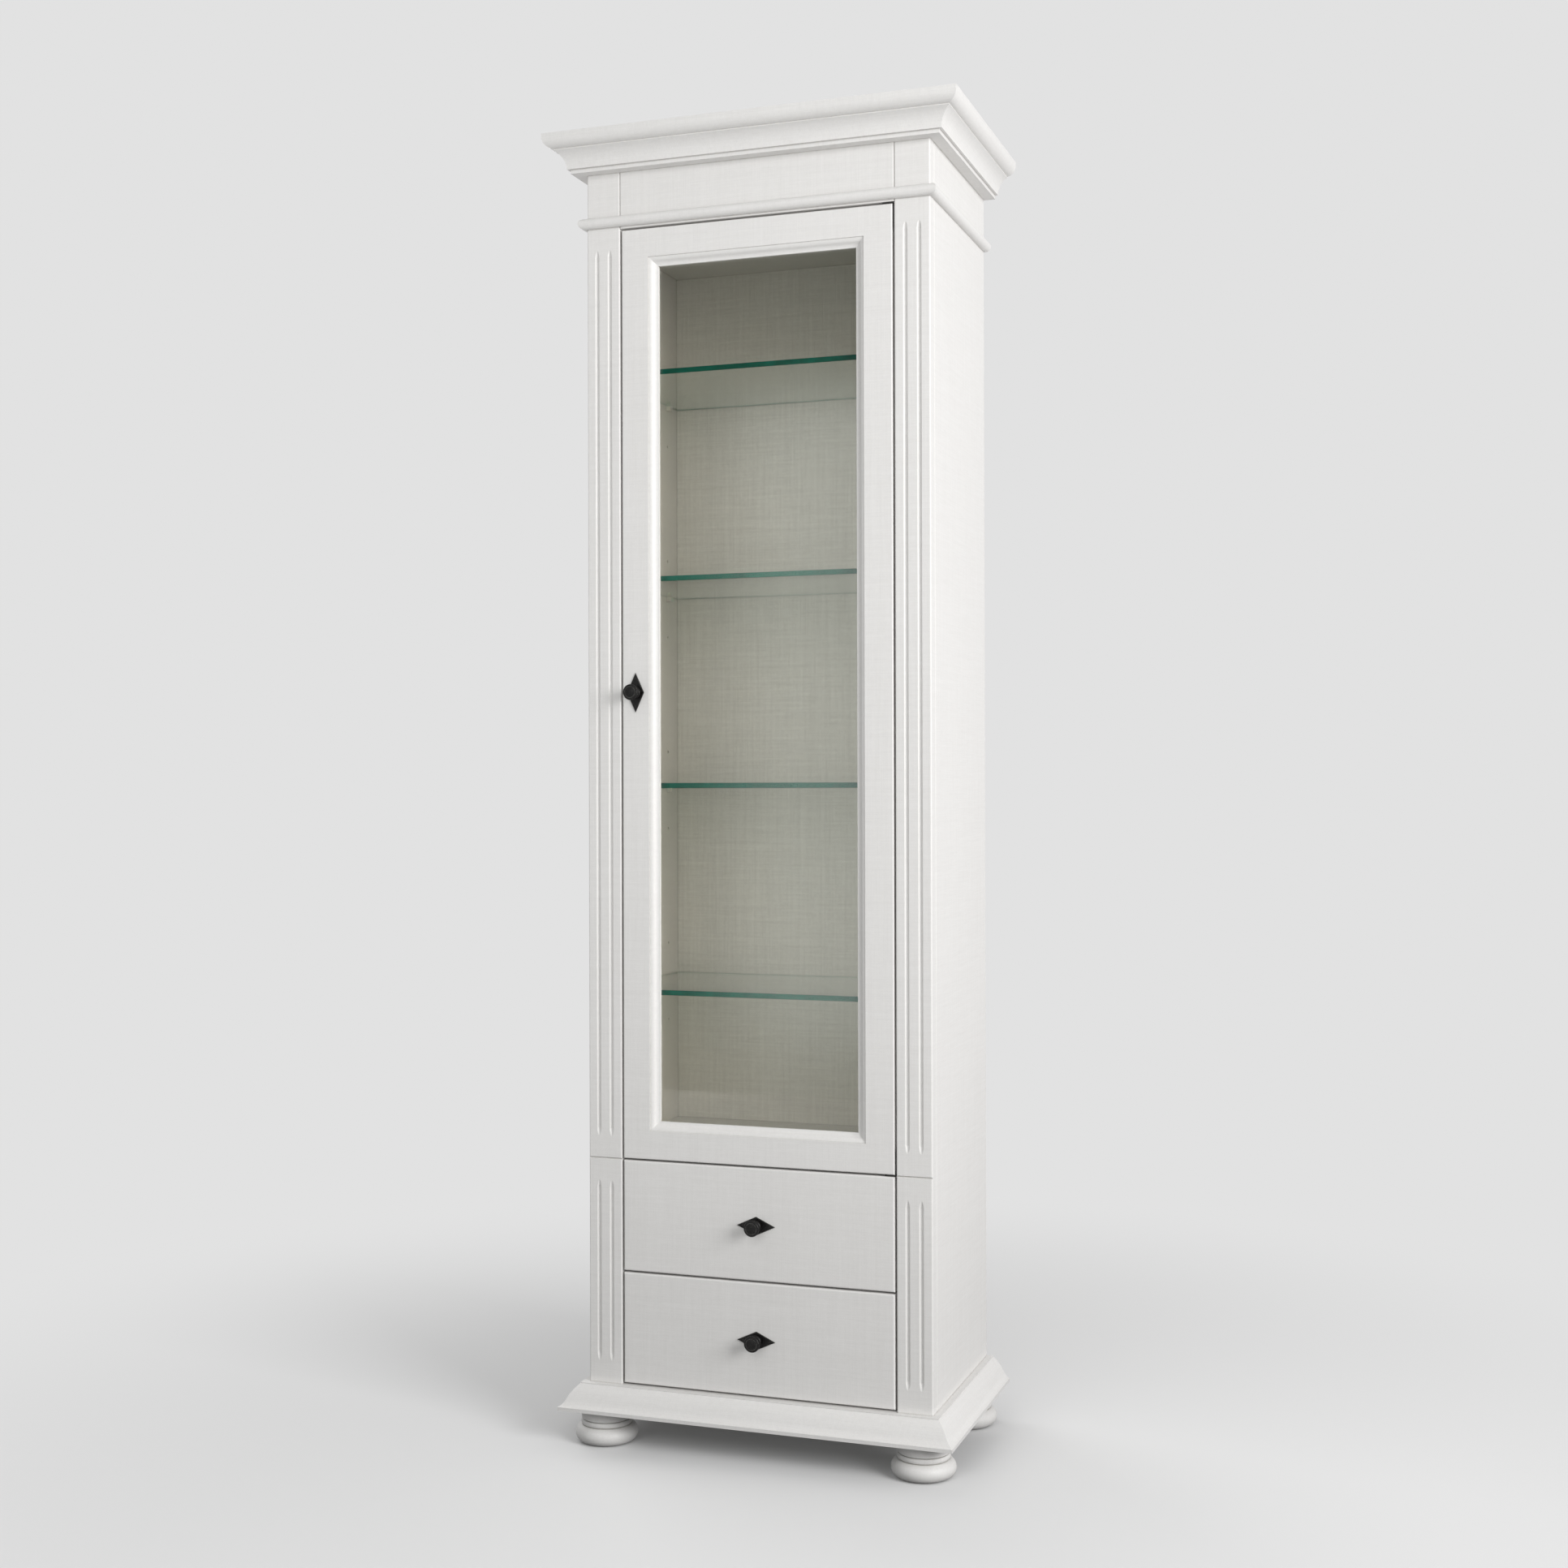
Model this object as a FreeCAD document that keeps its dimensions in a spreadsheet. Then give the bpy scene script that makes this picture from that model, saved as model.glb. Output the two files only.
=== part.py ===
import FreeCAD
import Part
import Sketcher
import math
import os
from types import SimpleNamespace

# Tall display cabinet: a glazed door over two drawers, between fluted stiles, on turned feet.
# Millimetres, +Z up, front towards -Y, +X to the right as seen from the front.
# The origin is on the floor, under the middle of the overall box.

SIZES = {
    # carcass
    "carcass_width": 550,
    "carcass_depth": 335,
    "stile_width": 55,
    "stile_thickness": 23,
    "side_thickness": 18,
    "board_thickness": 18,
    "back_thickness": 8,
    "back_recess": 5,
    "back_groove_depth": 6,
    "edge_round": 2.2,
    "housing_depth": 5,
    "tenon_length": 22,
    "tenon_thickness": 8,
    "tenon_shoulder": 6,
    "tenon_end_gap": 1,
    # heights, from the floor up
    "foot_height": 55,
    "base_height": 39,
    "front_gap": 3,
    "drawer_front_height": 170,
    "door_height": 1431,
    "frieze_height": 87,
    "cornice_height": 56,
    # cornice section
    "cornice_reach": 53,
    "cornice_soffit": 19,
    "cornice_fillet": 6,
    "cornice_cove_reach": 23.5,
    "cornice_arris_reach": 39,
    "cornice_arris_height": 33,
    "cornice_quirk": 1.5,
    "cornice_lip": 6,
    # astragal section
    "astragal_reach": 11.5,
    "astragal_height": 16,
    "astragal_lift": 3,
    # base moulding section
    "base_reach": 38,
    "base_ledge": 11,
    "base_step": 1.5,
    "base_flange": 5.5,
    "base_bend_reach": 28.3,
    "base_bend_height": 14.6,
    "base_swell_radius": 64,
    "base_cove_radius": 17,
    # turned feet
    "bun_radius": 48.5,
    "bun_height": 27,
    "ring_radius": 40,
    "ring_height": 8,
    "ring_bulge": 2,
    "foot_quirk_width": 1.5,
    "foot_quirk_depth": 2,
    "foot_neck_radius": 39,
    "foot_top_radius": 50,
    "foot_inset": 20,
    "back_foot_inset": 57,
    "foot_spigot_radius": 10,
    "foot_spigot_length": 14,
    "foot_spigot_clearance": 0.2,
    "foot_spigot_end_gap": 1,
    # flutes and scored line of the stiles
    "flute_width": 7,
    "flute_depth": 2.8,
    "flute_spacing": 21,
    "flute_margin": 34,
    "flute_runout": 12,
    "score_width": 3,
    "score_depth": 2,
    # display space
    "deck_lap": 12,
    "deck_gap": 4,
    "shelf_thickness": 8,
    "shelf_side_gap": 1.5,
    "shelf_back_gap": 2,
    "shelf_setback": 30,
    "shelf_rise": 238,
    "shelf_headroom": 215,
    "peg_hole_radius": 2.5,
    "peg_hole_depth": 10,
    "peg_hole_pitch": 64,
    "peg_front_row": 67,
    "peg_back_row": 41,
    "peg_clearance": 0.05,
    "peg_length": 9,
    "peg_ledge_length": 8,
    "peg_ledge_width": 10,
    "peg_ledge_height": 7,
    # door
    "door_thickness": 22,
    "door_frame_width": 44,
    "door_round": 2,
    "moulding_width": 14,
    "moulding_step": 1.5,
    "moulding_drop": 8.5,
    "glass_setback": 14,
    "glass_thickness": 4,
    "glass_edge_gap": 1,
    "bead_width": 10,
    "door_knob_rise": 717.5,
    # pivot hinges
    "pivot_inset": 8,
    "pivot_setback": 6,
    "pivot_pin_radius": 2,
    "pivot_pin_length": 12,
    "pivot_clearance": 0.05,
    "pivot_plate_thickness": 2,
    "pivot_plate_width": 8.4,
    "pivot_plate_overhang": 7,
    "pivot_leaf_length": 40,
    "pivot_barrel_radius": 4,
    "pivot_barrel_end": 1.5,
    # magnetic door catch
    "catch_length": 46,
    "catch_height": 14,
    "catch_depth": 16,
    "catch_gap": 2,
    "catch_inset": 60,
    # drawers and runners
    "drawer_front_thickness": 20,
    "drawer_front_round": 2.5,
    "drawer_side_gap": 1,
    "drawer_side_thickness": 14,
    "drawer_box_height": 120,
    "drawer_box_rise": 20,
    "drawer_back_gap": 22,
    "drawer_bottom_thickness": 6,
    "drawer_bottom_rise": 10,
    "drawer_bottom_groove": 6,
    "drawer_knob_rise": 83,
    "runner_height": 40,
    "runner_back_gap": 14,
    "tongue_height": 16,
    "tongue_reach": 8,
    "tongue_end_gap": 1,
    "tongue_clearance": 0.6,
    "tongue_rise": 60,
    # knobs and their plates
    "knob_radius": 12.2,
    "knob_reach": 22.5,
    "knob_rim": 4,
    "knob_dome": 1.5,
    "knob_neck_radius": 5.5,
    "knob_neck_length": 4,
    "knob_bead_radius": 9.5,
    "knob_bead_length": 6,
    "knob_ring_radius": 8.8,
    "knob_ring_width": 0.8,
    "knob_ring_depth": 0.5,
    "knob_stud_radius": 2,
    "knob_stud_length": 14,
    "knob_stud_clearance": 0.1,
    "knob_stud_end_gap": 1,
    "plate_length": 60.5,
    "plate_width": 28,
    "plate_thickness": 1.6,
    "plate_bevel": 0.6,
}
SHELF_COUNT = 4
HOLES_PER_SHELF = 3


class Size:
    """A length that keeps the sheet formula it was worked out with."""

    def __init__(self, formula, value):
        self.formula = formula
        self.value = value

    def joined(self, sign, other, value):
        return Size(f"({self.formula} {sign} {other.formula})", value)

    def __add__(self, other):
        other = sized(other)
        return self.joined("+", other, self.value + other.value)

    def __sub__(self, other):
        other = sized(other)
        return self.joined("-", other, self.value - other.value)

    def __mul__(self, other):
        other = sized(other)
        return self.joined("*", other, self.value * other.value)

    def __truediv__(self, other):
        other = sized(other)
        return self.joined("/", other, self.value / other.value)

    def __neg__(self):
        return self * -1


def sized(number):
    if isinstance(number, Size):
        return number
    return Size(f"{number:g}", float(number))


doc = FreeCAD.newDocument("display_cabinet")
sheet = doc.addObject("Spreadsheet::Sheet", "sizes")
for row, (name, value) in enumerate(SIZES.items(), 1):
    sheet.set(f"A{row}", name)
    sheet.set(f"B{row}", str(value))
    sheet.setAlias(f"B{row}", name)
doc.recompute()
S = SimpleNamespace(**{name: Size(f"sizes.{name}", float(value)) for name, value in SIZES.items()})
ZERO = sized(0)
pieces = {}

# Places that several pieces share, measured from the origin.
half_width = S.carcass_width / 2
front = (S.cornice_reach - S.carcass_depth) / 2
rear = front + S.carcass_depth
stile_back = front + S.stile_thickness
back_panel_rear = rear - S.back_recess
back_face = back_panel_rear - S.back_thickness
side_inner = half_width - S.side_thickness
opening_half = half_width - S.stile_width
front_half = opening_half - S.front_gap

base_board_top = S.foot_height + S.board_thickness
base_top = S.foot_height + S.base_height
lower_front_z = base_top + S.front_gap
upper_front_z = lower_front_z + S.drawer_front_height + S.front_gap
drawers_top = upper_front_z + S.drawer_front_height
door_z = drawers_top + S.front_gap
door_top = door_z + S.door_height
door_middle = door_z + S.door_height / 2
frieze_z = door_top + S.front_gap
carcass_top = frieze_z + S.frieze_height
astragal_z = frieze_z + S.astragal_lift
deck_top = door_z + S.deck_lap
deck_front = front + S.door_thickness + S.deck_gap

shelf_z = deck_top + S.shelf_rise
shelf_climb = frieze_z - S.shelf_headroom - S.shelf_thickness - shelf_z
shelf_spacing = shelf_climb / (SHELF_COUNT - 1)
peg_axis_z = shelf_z - S.peg_ledge_height / 2
peg_front_y = front + S.peg_front_row
peg_row_length = S.carcass_depth - S.back_recess - S.back_thickness - S.peg_back_row - S.peg_front_row

foot_x = half_width - S.foot_inset
foot_rows = {"front": front + S.foot_inset, "back": rear - S.back_foot_inset}

pivot_x = front_half - S.pivot_inset
pivot_y = front + S.pivot_setback
knob_y = front - S.plate_thickness


def bind(thing, prop, size):
    thing.setExpression(prop, sized(size).formula)


def place(thing, x, y, z):
    bind(thing, "Placement.Base.x", x)
    bind(thing, "Placement.Base.y", y)
    bind(thing, "Placement.Base.z", z)


def keep(label, thing):
    """Names a finished piece; its label is its file's name."""
    thing.Label = label
    pieces[label] = thing
    return thing


def box(name, x, y, z):
    """A plain block between the low and high ends given for each axis."""
    block = doc.addObject("Part::Box", name)
    for prop, (low, high) in zip(("Length", "Width", "Height"), (x, y, z)):
        bind(block, prop, high - low)
    place(block, x[0], y[0], z[0])
    return block


def cylinder(name, x, y, z, radius, height):
    rod = doc.addObject("Part::Cylinder", name)
    bind(rod, "Radius", radius)
    bind(rod, "Height", height)
    place(rod, x, y, z)
    return rod


def fuse(name, shapes):
    union = doc.addObject("Part::MultiFuse", name)
    union.Shapes = shapes
    return union


def cut(name, base, tool):
    rest = doc.addObject("Part::Cut", name)
    rest.Base = base
    rest.Tool = tool
    return rest


def mirror(name, source, normal, level=ZERO):
    """The source's mirror image in the plane square to normal, level mm along it."""
    image = doc.addObject("Part::Mirroring", name)
    image.Source = source
    image.Normal = normal
    for axis in "xyz":
        if getattr(normal, axis):
            bind(image, f"Base.{axis}", level)
    return image


def group(label, members):
    bundle = doc.addObject("Part::Compound", label)
    bundle.Links = members
    return keep(label, bundle)


ACROSS = FreeCAD.Vector(1, 0, 0)
UPWARD = FreeCAD.Vector(0, 0, 1)


def new_body(label, x=ZERO, y=ZERO, z=ZERO):
    body = doc.addObject("PartDesign::Body", label)
    place(body, x, y, z)
    return body


def origin_plane(body, role):
    return next(item for item in body.Origin.OriginFeatures if item.Role == role)


def new_sketch(body, role, offset=None):
    """A sketch on one of the body's own planes, moved along the plane's normal by offset."""
    sketch = body.newObject("Sketcher::SketchObject", f"{body.Name}_sketch")
    sketch.AttachmentSupport = [(origin_plane(body, role), "")]
    sketch.MapMode = "FlatFace"
    if offset is not None:
        bind(sketch, "AttachmentOffset.Base.z", offset)
    return sketch


def fix_point(sketch, geometry, end, x, y):
    for kind, size in (("DistanceX", x), ("DistanceY", y)):
        size = sized(size)
        number = sketch.addConstraint(Sketcher.Constraint(kind, -1, 1, geometry, end, size.value))
        bind(sketch, f"Constraints[{number}]", size)


def fix_radius(sketch, geometry, radius):
    number = sketch.addConstraint(Sketcher.Constraint("Radius", geometry, radius.value))
    bind(sketch, f"Constraints[{number}]", radius)


def arc_between(start, end, radius, turn):
    """The short arc from start to end. It turns left if turn is 1 and right if it is -1."""
    chord = end - start
    height = math.sqrt(max(radius * radius - chord.Length ** 2 / 4, 0))
    left = FreeCAD.Vector(-chord.y, chord.x, 0).normalize()
    centre = (start + end) / 2 + left * (turn * height)
    first, last = (start, end) if turn > 0 else (end, start)
    angles = [math.atan2(point.y - centre.y, point.x - centre.x) for point in (first, last)]
    return Part.ArcOfCircle(Part.Circle(centre, UPWARD, radius), *angles)


def outline(sketch, corners, closed=True):
    """Draws straight edges and arcs from corner to corner.

    A corner is (x, y), or (x, y, radius, turn) where the edge that ends there is an arc.
    """
    points = [FreeCAD.Vector(sized(c[0]).value, sized(c[1]).value, 0) for c in corners]
    first = 0 if closed else 1
    edges = []
    for i in range(first, len(corners)):
        start, end = points[i - 1], points[i]
        if len(corners[i]) == 2:
            number = sketch.addGeometry(Part.LineSegment(start, end))
            edges.append((number, 1, 2))
            continue
        radius, turn = sized(corners[i][2]), corners[i][3]
        number = sketch.addGeometry(arc_between(start, end, radius.value, turn))
        fix_radius(sketch, number, radius)
        edges.append((number, 1, 2) if turn > 0 else (number, 2, 1))
    for i, (number, begin, finish) in enumerate(edges):
        x, y = corners[first + i][:2]
        fix_point(sketch, number, finish, x, y)
        following = i + 1
        if closed:
            following %= len(edges)
        if following < len(edges):
            after, after_begin, _ = edges[following]
            sketch.addConstraint(Sketcher.Constraint("Coincident", number, finish, after, after_begin))
    if not closed:
        fix_point(sketch, edges[0][0], edges[0][1], *corners[0][:2])
    return sketch


def rectangle(x, y):
    return [(x[0], y[0]), (x[1], y[0]), (x[1], y[1]), (x[0], y[1])]


def round_hole(sketch, x, y, radius):
    centre = FreeCAD.Vector(sized(x).value, sized(y).value, 0)
    number = sketch.addGeometry(Part.Circle(centre, UPWARD, radius.value))
    fix_point(sketch, number, 3, x, y)
    fix_radius(sketch, number, radius)
    return sketch


def pad(body, sketch, length, side="One side", backwards=False):
    feature = body.newObject("PartDesign::Pad", f"{body.Name}_pad")
    feature.Profile = sketch
    feature.SideType = side
    feature.Reversed = backwards
    bind(feature, "Length", length)
    return feature


def pocket(body, sketch, length=None, backwards=False):
    """Cuts the sketch out of the body, right through where no length is given."""
    doc.recompute()
    before = body.Shape.Volume
    feature = body.newObject("PartDesign::Pocket", f"{body.Name}_pocket")
    feature.Profile = sketch
    feature.Reversed = backwards
    if length is None:
        feature.Type = "ThroughAll"
    else:
        bind(feature, "Length", length)
    doc.recompute()
    if body.Shape.Volume >= before:
        raise RuntimeError(f"{body.Label}: the pocket cuts nothing")
    return feature


def revolve(body, sketch):
    feature = body.newObject("PartDesign::Revolution", f"{body.Name}_turning")
    feature.Profile = sketch
    feature.ReferenceAxis = (sketch, ["V_Axis"])
    feature.Angle = 360
    return feature


def line_pattern(body, sketch, axis, length, count):
    feature = body.newObject("PartDesign::LinearPattern", f"{body.Name}_row")
    feature.Direction = (sketch, [axis])
    feature.Occurrences = count
    bind(feature, "Length", length)
    return feature


def repeat(body, originals, steps):
    feature = body.newObject("PartDesign::MultiTransform", f"{body.Name}_repeat")
    feature.Originals = originals
    feature.Transformations = steps
    body.Tip = feature
    return feature


def dress(body, kind, prop, size, wanted):
    """Rounds or bevels the edges whose middle point wanted() picks."""
    doc.recompute()
    base = body.Tip
    names = []
    for number, edge in enumerate(base.Shape.Edges, 1):
        middle = edge.valueAt((edge.FirstParameter + edge.LastParameter) / 2)
        if wanted(middle):
            names.append(f"Edge{number}")
    if not names:
        raise RuntimeError(f"{body.Label}: no edge to dress")
    feature = body.newObject(f"PartDesign::{kind}", f"{body.Name}_{kind}")
    feature.Base = (base, names)
    bind(feature, prop, size)
    return feature


def near(value, size):
    return abs(value - sized(size).value) < 1e-4


# Boards of the carcass

def carcass_boards():
    top_height = (carcass_top, carcass_top + S.board_thickness)
    keep("top_board", box("top_board", (-half_width, half_width), (front, rear), top_height))
    housed = side_inner + S.housing_depth
    for label, (depth, height) in housed_panels().items():
        keep(label, box(label, (-housed, housed), depth, height))
    in_groove = side_inner + S.back_groove_depth
    back_height = (base_board_top, carcass_top)
    keep("back_panel", box("back_panel", (-in_groove, in_groove), (back_face, back_panel_rear), back_height))


def housed_panels():
    """Depth and height of the two panels that are let into the side panels."""
    return {
        "ceiling_panel": ((stile_back, back_face), (frieze_z, frieze_z + S.board_thickness)),
        "deck_panel": ((deck_front, back_face), (deck_top - S.board_thickness, deck_top)),
    }


def base_board():
    """Carries the sides, and takes the feet's spigots in blind holes."""
    body = new_body("base_board", ZERO, ZERO, S.foot_height)
    plan = new_sketch(body, "XY_Plane")
    outline(plan, rectangle((-half_width, half_width), (front, rear)))
    pad(body, plan, S.board_thickness)
    holes = new_sketch(body, "XY_Plane")
    for y in foot_rows.values():
        for sign in (-1, 1):
            round_hole(holes, foot_x * sign, y, S.foot_spigot_radius + S.foot_spigot_clearance)
    pocket(body, holes, S.foot_spigot_length + S.foot_spigot_end_gap, backwards=True)
    keep("base_board", body)


def carcass_rail(label, z, height):
    """A rail between the stiles, tenoned into them."""
    body = new_body(label, ZERO, front, z)
    sketch = new_sketch(body, "XY_Plane")
    outline(sketch, rectangle((-opening_half, opening_half), (ZERO, S.stile_thickness)))
    pad(body, sketch, height)
    dress(body, "Fillet", "Radius", S.edge_round,
          lambda point: near(point.y, 0) and near(abs(point.x), opening_half))
    add_tenons(body, opening_half, S.stile_thickness, height)
    keep(label, body)


# Mortise and tenon joints

def tenon_section(thickness, low, high):
    """Corners of the tenon of a rail that lies between low and high."""
    y = (thickness - S.tenon_thickness) / 2
    return rectangle((y, y + S.tenon_thickness), (low + S.tenon_shoulder, high - S.tenon_shoulder))


def add_tenons(rail, half_length, thickness, height):
    for sign in (-1, 1):
        sketch = new_sketch(rail, "YZ_Plane", half_length * sign)
        outline(sketch, tenon_section(thickness, ZERO, height))
        pad(rail, sketch, S.tenon_length, backwards=sign < 0)


def cut_mortise(upright, sign, inner, thickness, low, high):
    """A mortise in the inner edge of the upright on the side that sign gives."""
    sketch = new_sketch(upright, "YZ_Plane", inner)
    outline(sketch, tenon_section(thickness, low, high))
    pocket(upright, sketch, S.tenon_length + S.tenon_end_gap, backwards=sign > 0)


# Stiles: a board with two flutes above and two below a scored line

def stile(label, sign):
    height = carcass_top - base_board_top
    body = new_body(label, half_width * sign, front, base_board_top)
    plan = new_sketch(body, "XY_Plane")
    outline(plan, rectangle((-S.stile_width * sign, ZERO), (ZERO, S.stile_thickness)))
    pad(body, plan, height)
    dress(body, "Fillet", "Radius", S.edge_round,
          lambda point: near(point.z, height / 2) and (near(point.y, 0) or near(point.x, 0)))

    inner = -S.stile_width * sign
    cut_mortise(body, sign, inner, S.stile_thickness, ZERO, base_top - base_board_top)
    cut_mortise(body, sign, inner, S.stile_thickness, frieze_z - base_board_top, height)

    score_z = drawers_top + S.front_gap / 2 - base_board_top
    score = new_sketch(body, "YZ_Plane")
    outline(score, [(ZERO, score_z - S.score_width / 2), (S.score_depth, score_z),
                    (ZERO, score_z + S.score_width / 2)])
    pocket(body, score, backwards=sign < 0)

    low_end = base_top - base_board_top + S.flute_margin
    high_end = astragal_z - base_board_top - S.flute_margin
    lower = flute(body, sign, low_end, score_z - S.flute_margin)
    upper = flute(body, sign, score_z + S.flute_margin, high_end)
    second = line_pattern(body, plan, "H_Axis", S.flute_spacing, 2)
    repeat(body, [lower, upper], [second])
    return keep(label, body)


def flute(body, sign, low, high):
    """A round groove that runs out to a point at its two ends."""
    radius = (S.flute_width * S.flute_width / 4 + S.flute_depth * S.flute_depth) / (S.flute_depth * 2)
    x = -S.stile_width * sign / 2 - S.flute_spacing / 2
    run_past = S.flute_runout / 4
    lifted = -radius - S.flute_depth / 4
    sunk = S.flute_depth - radius
    path = new_sketch(body, "YZ_Plane", x)
    outline(path, [(lifted, low - run_past), (sunk, low + S.flute_runout),
                   (sunk, high - S.flute_runout), (lifted, high + run_past)], closed=False)
    section = new_sketch(body, "XY_Plane", low - run_past)
    round_hole(section, x, lifted, radius)
    doc.recompute()
    groove = body.newObject("PartDesign::SubtractivePipe", f"{body.Name}_flute")
    groove.Profile = section
    groove.Spine = (path, ["Edge1", "Edge2", "Edge3"])
    groove.Transition = "Transformed"
    return groove


def pivot_recesses(body):
    """Lets the leaves of the two pivot brackets into the right stile."""
    inner = -S.stile_width
    y = pivot_y - front - S.pivot_plate_width / 2
    for low in pivot_leaf_floor():
        sketch = new_sketch(body, "XY_Plane", low - base_board_top)
        outline(sketch, rectangle((inner, inner + S.pivot_plate_thickness), (y, y + S.pivot_plate_width)))
        pocket(body, sketch, S.pivot_leaf_length, backwards=True)


def pivot_leaf_floor():
    """The lowest point of each bracket's leaf, lower bracket first."""
    shelf_gap = (S.front_gap - S.pivot_plate_thickness) / 2
    return drawers_top + shelf_gap, frieze_z - shelf_gap - S.pivot_leaf_length


# Side panels: a groove for the back panel and rows of peg holes

def side_panel(label, sign):
    inner = -S.side_thickness * sign
    depth = S.carcass_depth - S.stile_thickness
    body = new_body(label, half_width * sign, stile_back, base_board_top)
    plan = new_sketch(body, "XY_Plane")
    height = carcass_top - base_board_top
    outline(plan, rectangle((inner, ZERO), (ZERO, depth)))
    pad(body, plan, height)
    dress(body, "Fillet", "Radius", S.edge_round,
          lambda point: near(point.x, 0) and near(point.z, height / 2))

    groove = new_sketch(body, "XY_Plane")
    groove_front = back_face - stile_back
    outline(groove, rectangle((inner, inner + S.back_groove_depth * sign),
                              (groove_front, groove_front + S.back_thickness)))
    pocket(body, groove, backwards=True)

    for (near_y, far_y), (low, high) in housed_panels().values():
        housing = new_sketch(body, "YZ_Plane", inner)
        outline(housing, rectangle((near_y - stile_back, far_y - stile_back),
                                   (low - base_board_top, high - base_board_top)))
        pocket(body, housing, S.housing_depth, backwards=sign > 0)

    hole = new_sketch(body, "YZ_Plane", inner)
    round_hole(hole, S.peg_front_row - S.stile_thickness, peg_axis_z - S.peg_hole_pitch - base_board_top,
               S.peg_hole_radius)
    drilled = pocket(body, hole, S.peg_hole_depth, backwards=sign > 0)
    steps = [line_pattern(body, hole, "V_Axis", S.peg_hole_pitch * (HOLES_PER_SHELF - 1), HOLES_PER_SHELF),
             line_pattern(body, hole, "V_Axis", shelf_climb, SHELF_COUNT),
             line_pattern(body, hole, "H_Axis", peg_row_length, 2)]
    repeat(body, [drilled], steps)
    keep(label, body)


# Mouldings: one section each, mitred at the two front corners

def cornice_section(side):
    """Corners of the cornice's section; side turns its reach to +x or -x."""
    cove_run = S.cornice_arris_reach - S.cornice_cove_reach
    cove_rise = S.cornice_arris_height - S.cornice_fillet
    ovolo_run = S.cornice_reach - S.cornice_arris_reach
    lip_z = S.cornice_height - S.cornice_lip
    ovolo_z = S.cornice_arris_height + S.cornice_quirk
    ovolo_rise = lip_z - ovolo_z
    return [
        (ZERO, ZERO),
        (S.cornice_soffit * side, ZERO),
        (S.cornice_soffit * side, S.cornice_fillet),
        (S.cornice_cove_reach * side, S.cornice_fillet),
        (S.cornice_arris_reach * side, S.cornice_arris_height, upright_arc(cove_run, cove_rise), -side),
        (S.cornice_arris_reach * side, ovolo_z),
        (S.cornice_reach * side, lip_z, upright_arc(ovolo_run, ovolo_rise), side),
        (S.cornice_reach * side, S.cornice_height),
        (ZERO, S.cornice_height),
    ]


def astragal_section(side):
    nose = S.astragal_height / 2
    flat = S.astragal_reach - nose
    return [
        (ZERO, ZERO),
        (flat * side, ZERO),
        (S.astragal_reach * side, nose, nose, side),
        (flat * side, S.astragal_height, nose, side),
        (ZERO, S.astragal_height),
    ]


def base_section(side):
    shoulder_z = S.base_height - S.base_step
    return [
        (ZERO, ZERO),
        (S.base_reach * side, ZERO),
        (S.base_reach * side, S.base_flange),
        (S.base_bend_reach * side, S.base_bend_height, S.base_cove_radius, -side),
        (S.base_ledge * side, shoulder_z, S.base_swell_radius, side),
        (S.base_ledge * side, S.base_height),
        (ZERO, S.base_height),
    ]


def upright_arc(run, rise):
    """Radius of the arc that starts square to run and ends run across and rise along."""
    return (run * run + rise * rise) / (run * 2)


def moulding(name, section, reach, z):
    """Front, right and left lengths of a moulding round the carcass, from z up."""
    front_length = new_body(f"{name}_front", ZERO, front, z)
    profile = new_sketch(front_length, "YZ_Plane")
    outline(profile, section(-1))
    pad(front_length, profile, S.carcass_width + reach * 2, side="Symmetric")
    for sign in (1, -1):
        mitre = new_sketch(front_length, "XY_Plane")
        outline(mitre, [(half_width * sign, ZERO), ((half_width + reach) * sign, -reach),
                        ((half_width + reach) * sign, ZERO)])
        pocket(front_length, mitre, backwards=True)
    keep(f"{name}_front", front_length)

    right = new_body(f"{name}_right", half_width, front, z)
    profile = new_sketch(right, "XZ_Plane", reach)
    outline(profile, section(1))
    pad(right, profile, S.carcass_depth + reach, backwards=True)
    mitre = new_sketch(right, "XY_Plane")
    outline(mitre, [(ZERO, ZERO), (ZERO, -reach), (reach, -reach)])
    pocket(right, mitre, backwards=True)
    keep(f"{name}_right", right)
    keep(f"{name}_left", mirror(f"{name}_left", right, ACROSS))


# Turned feet

def foot_section():
    bun_arc = S.bun_height / 2
    bun_flat = S.bun_radius - bun_arc
    ring_edge = S.ring_radius - S.ring_bulge
    ring_top = S.bun_height + S.ring_height
    quirk = ring_edge - S.foot_quirk_depth
    neck_z = ring_top + S.foot_quirk_width
    flare = S.foot_top_radius - S.foot_neck_radius
    return [
        (ZERO, ZERO),
        (bun_flat, ZERO),
        (S.bun_radius, bun_arc, bun_arc, 1),
        (bun_flat, S.bun_height, bun_arc, 1),
        (ring_edge, S.bun_height),
        (ring_edge, ring_top, upright_arc(S.ring_bulge, S.ring_height / 2), 1),
        (quirk, ring_top),
        (quirk, neck_z),
        (S.foot_neck_radius, neck_z),
        (S.foot_top_radius, S.foot_height, upright_arc(flare, S.foot_height - neck_z), -1),
        (S.foot_spigot_radius, S.foot_height),
        (S.foot_spigot_radius, S.foot_height + S.foot_spigot_length),
        (ZERO, S.foot_height + S.foot_spigot_length),
    ]


def feet():
    for row, y in foot_rows.items():
        for hand, sign in (("left", -1), ("right", 1)):
            label = f"foot_{row}_{hand}"
            body = new_body(label, foot_x * sign, y, ZERO)
            sketch = new_sketch(body, "XZ_Plane")
            outline(sketch, foot_section())
            revolve(body, sketch)
            keep(label, body)


# Glass shelves on pegs

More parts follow.
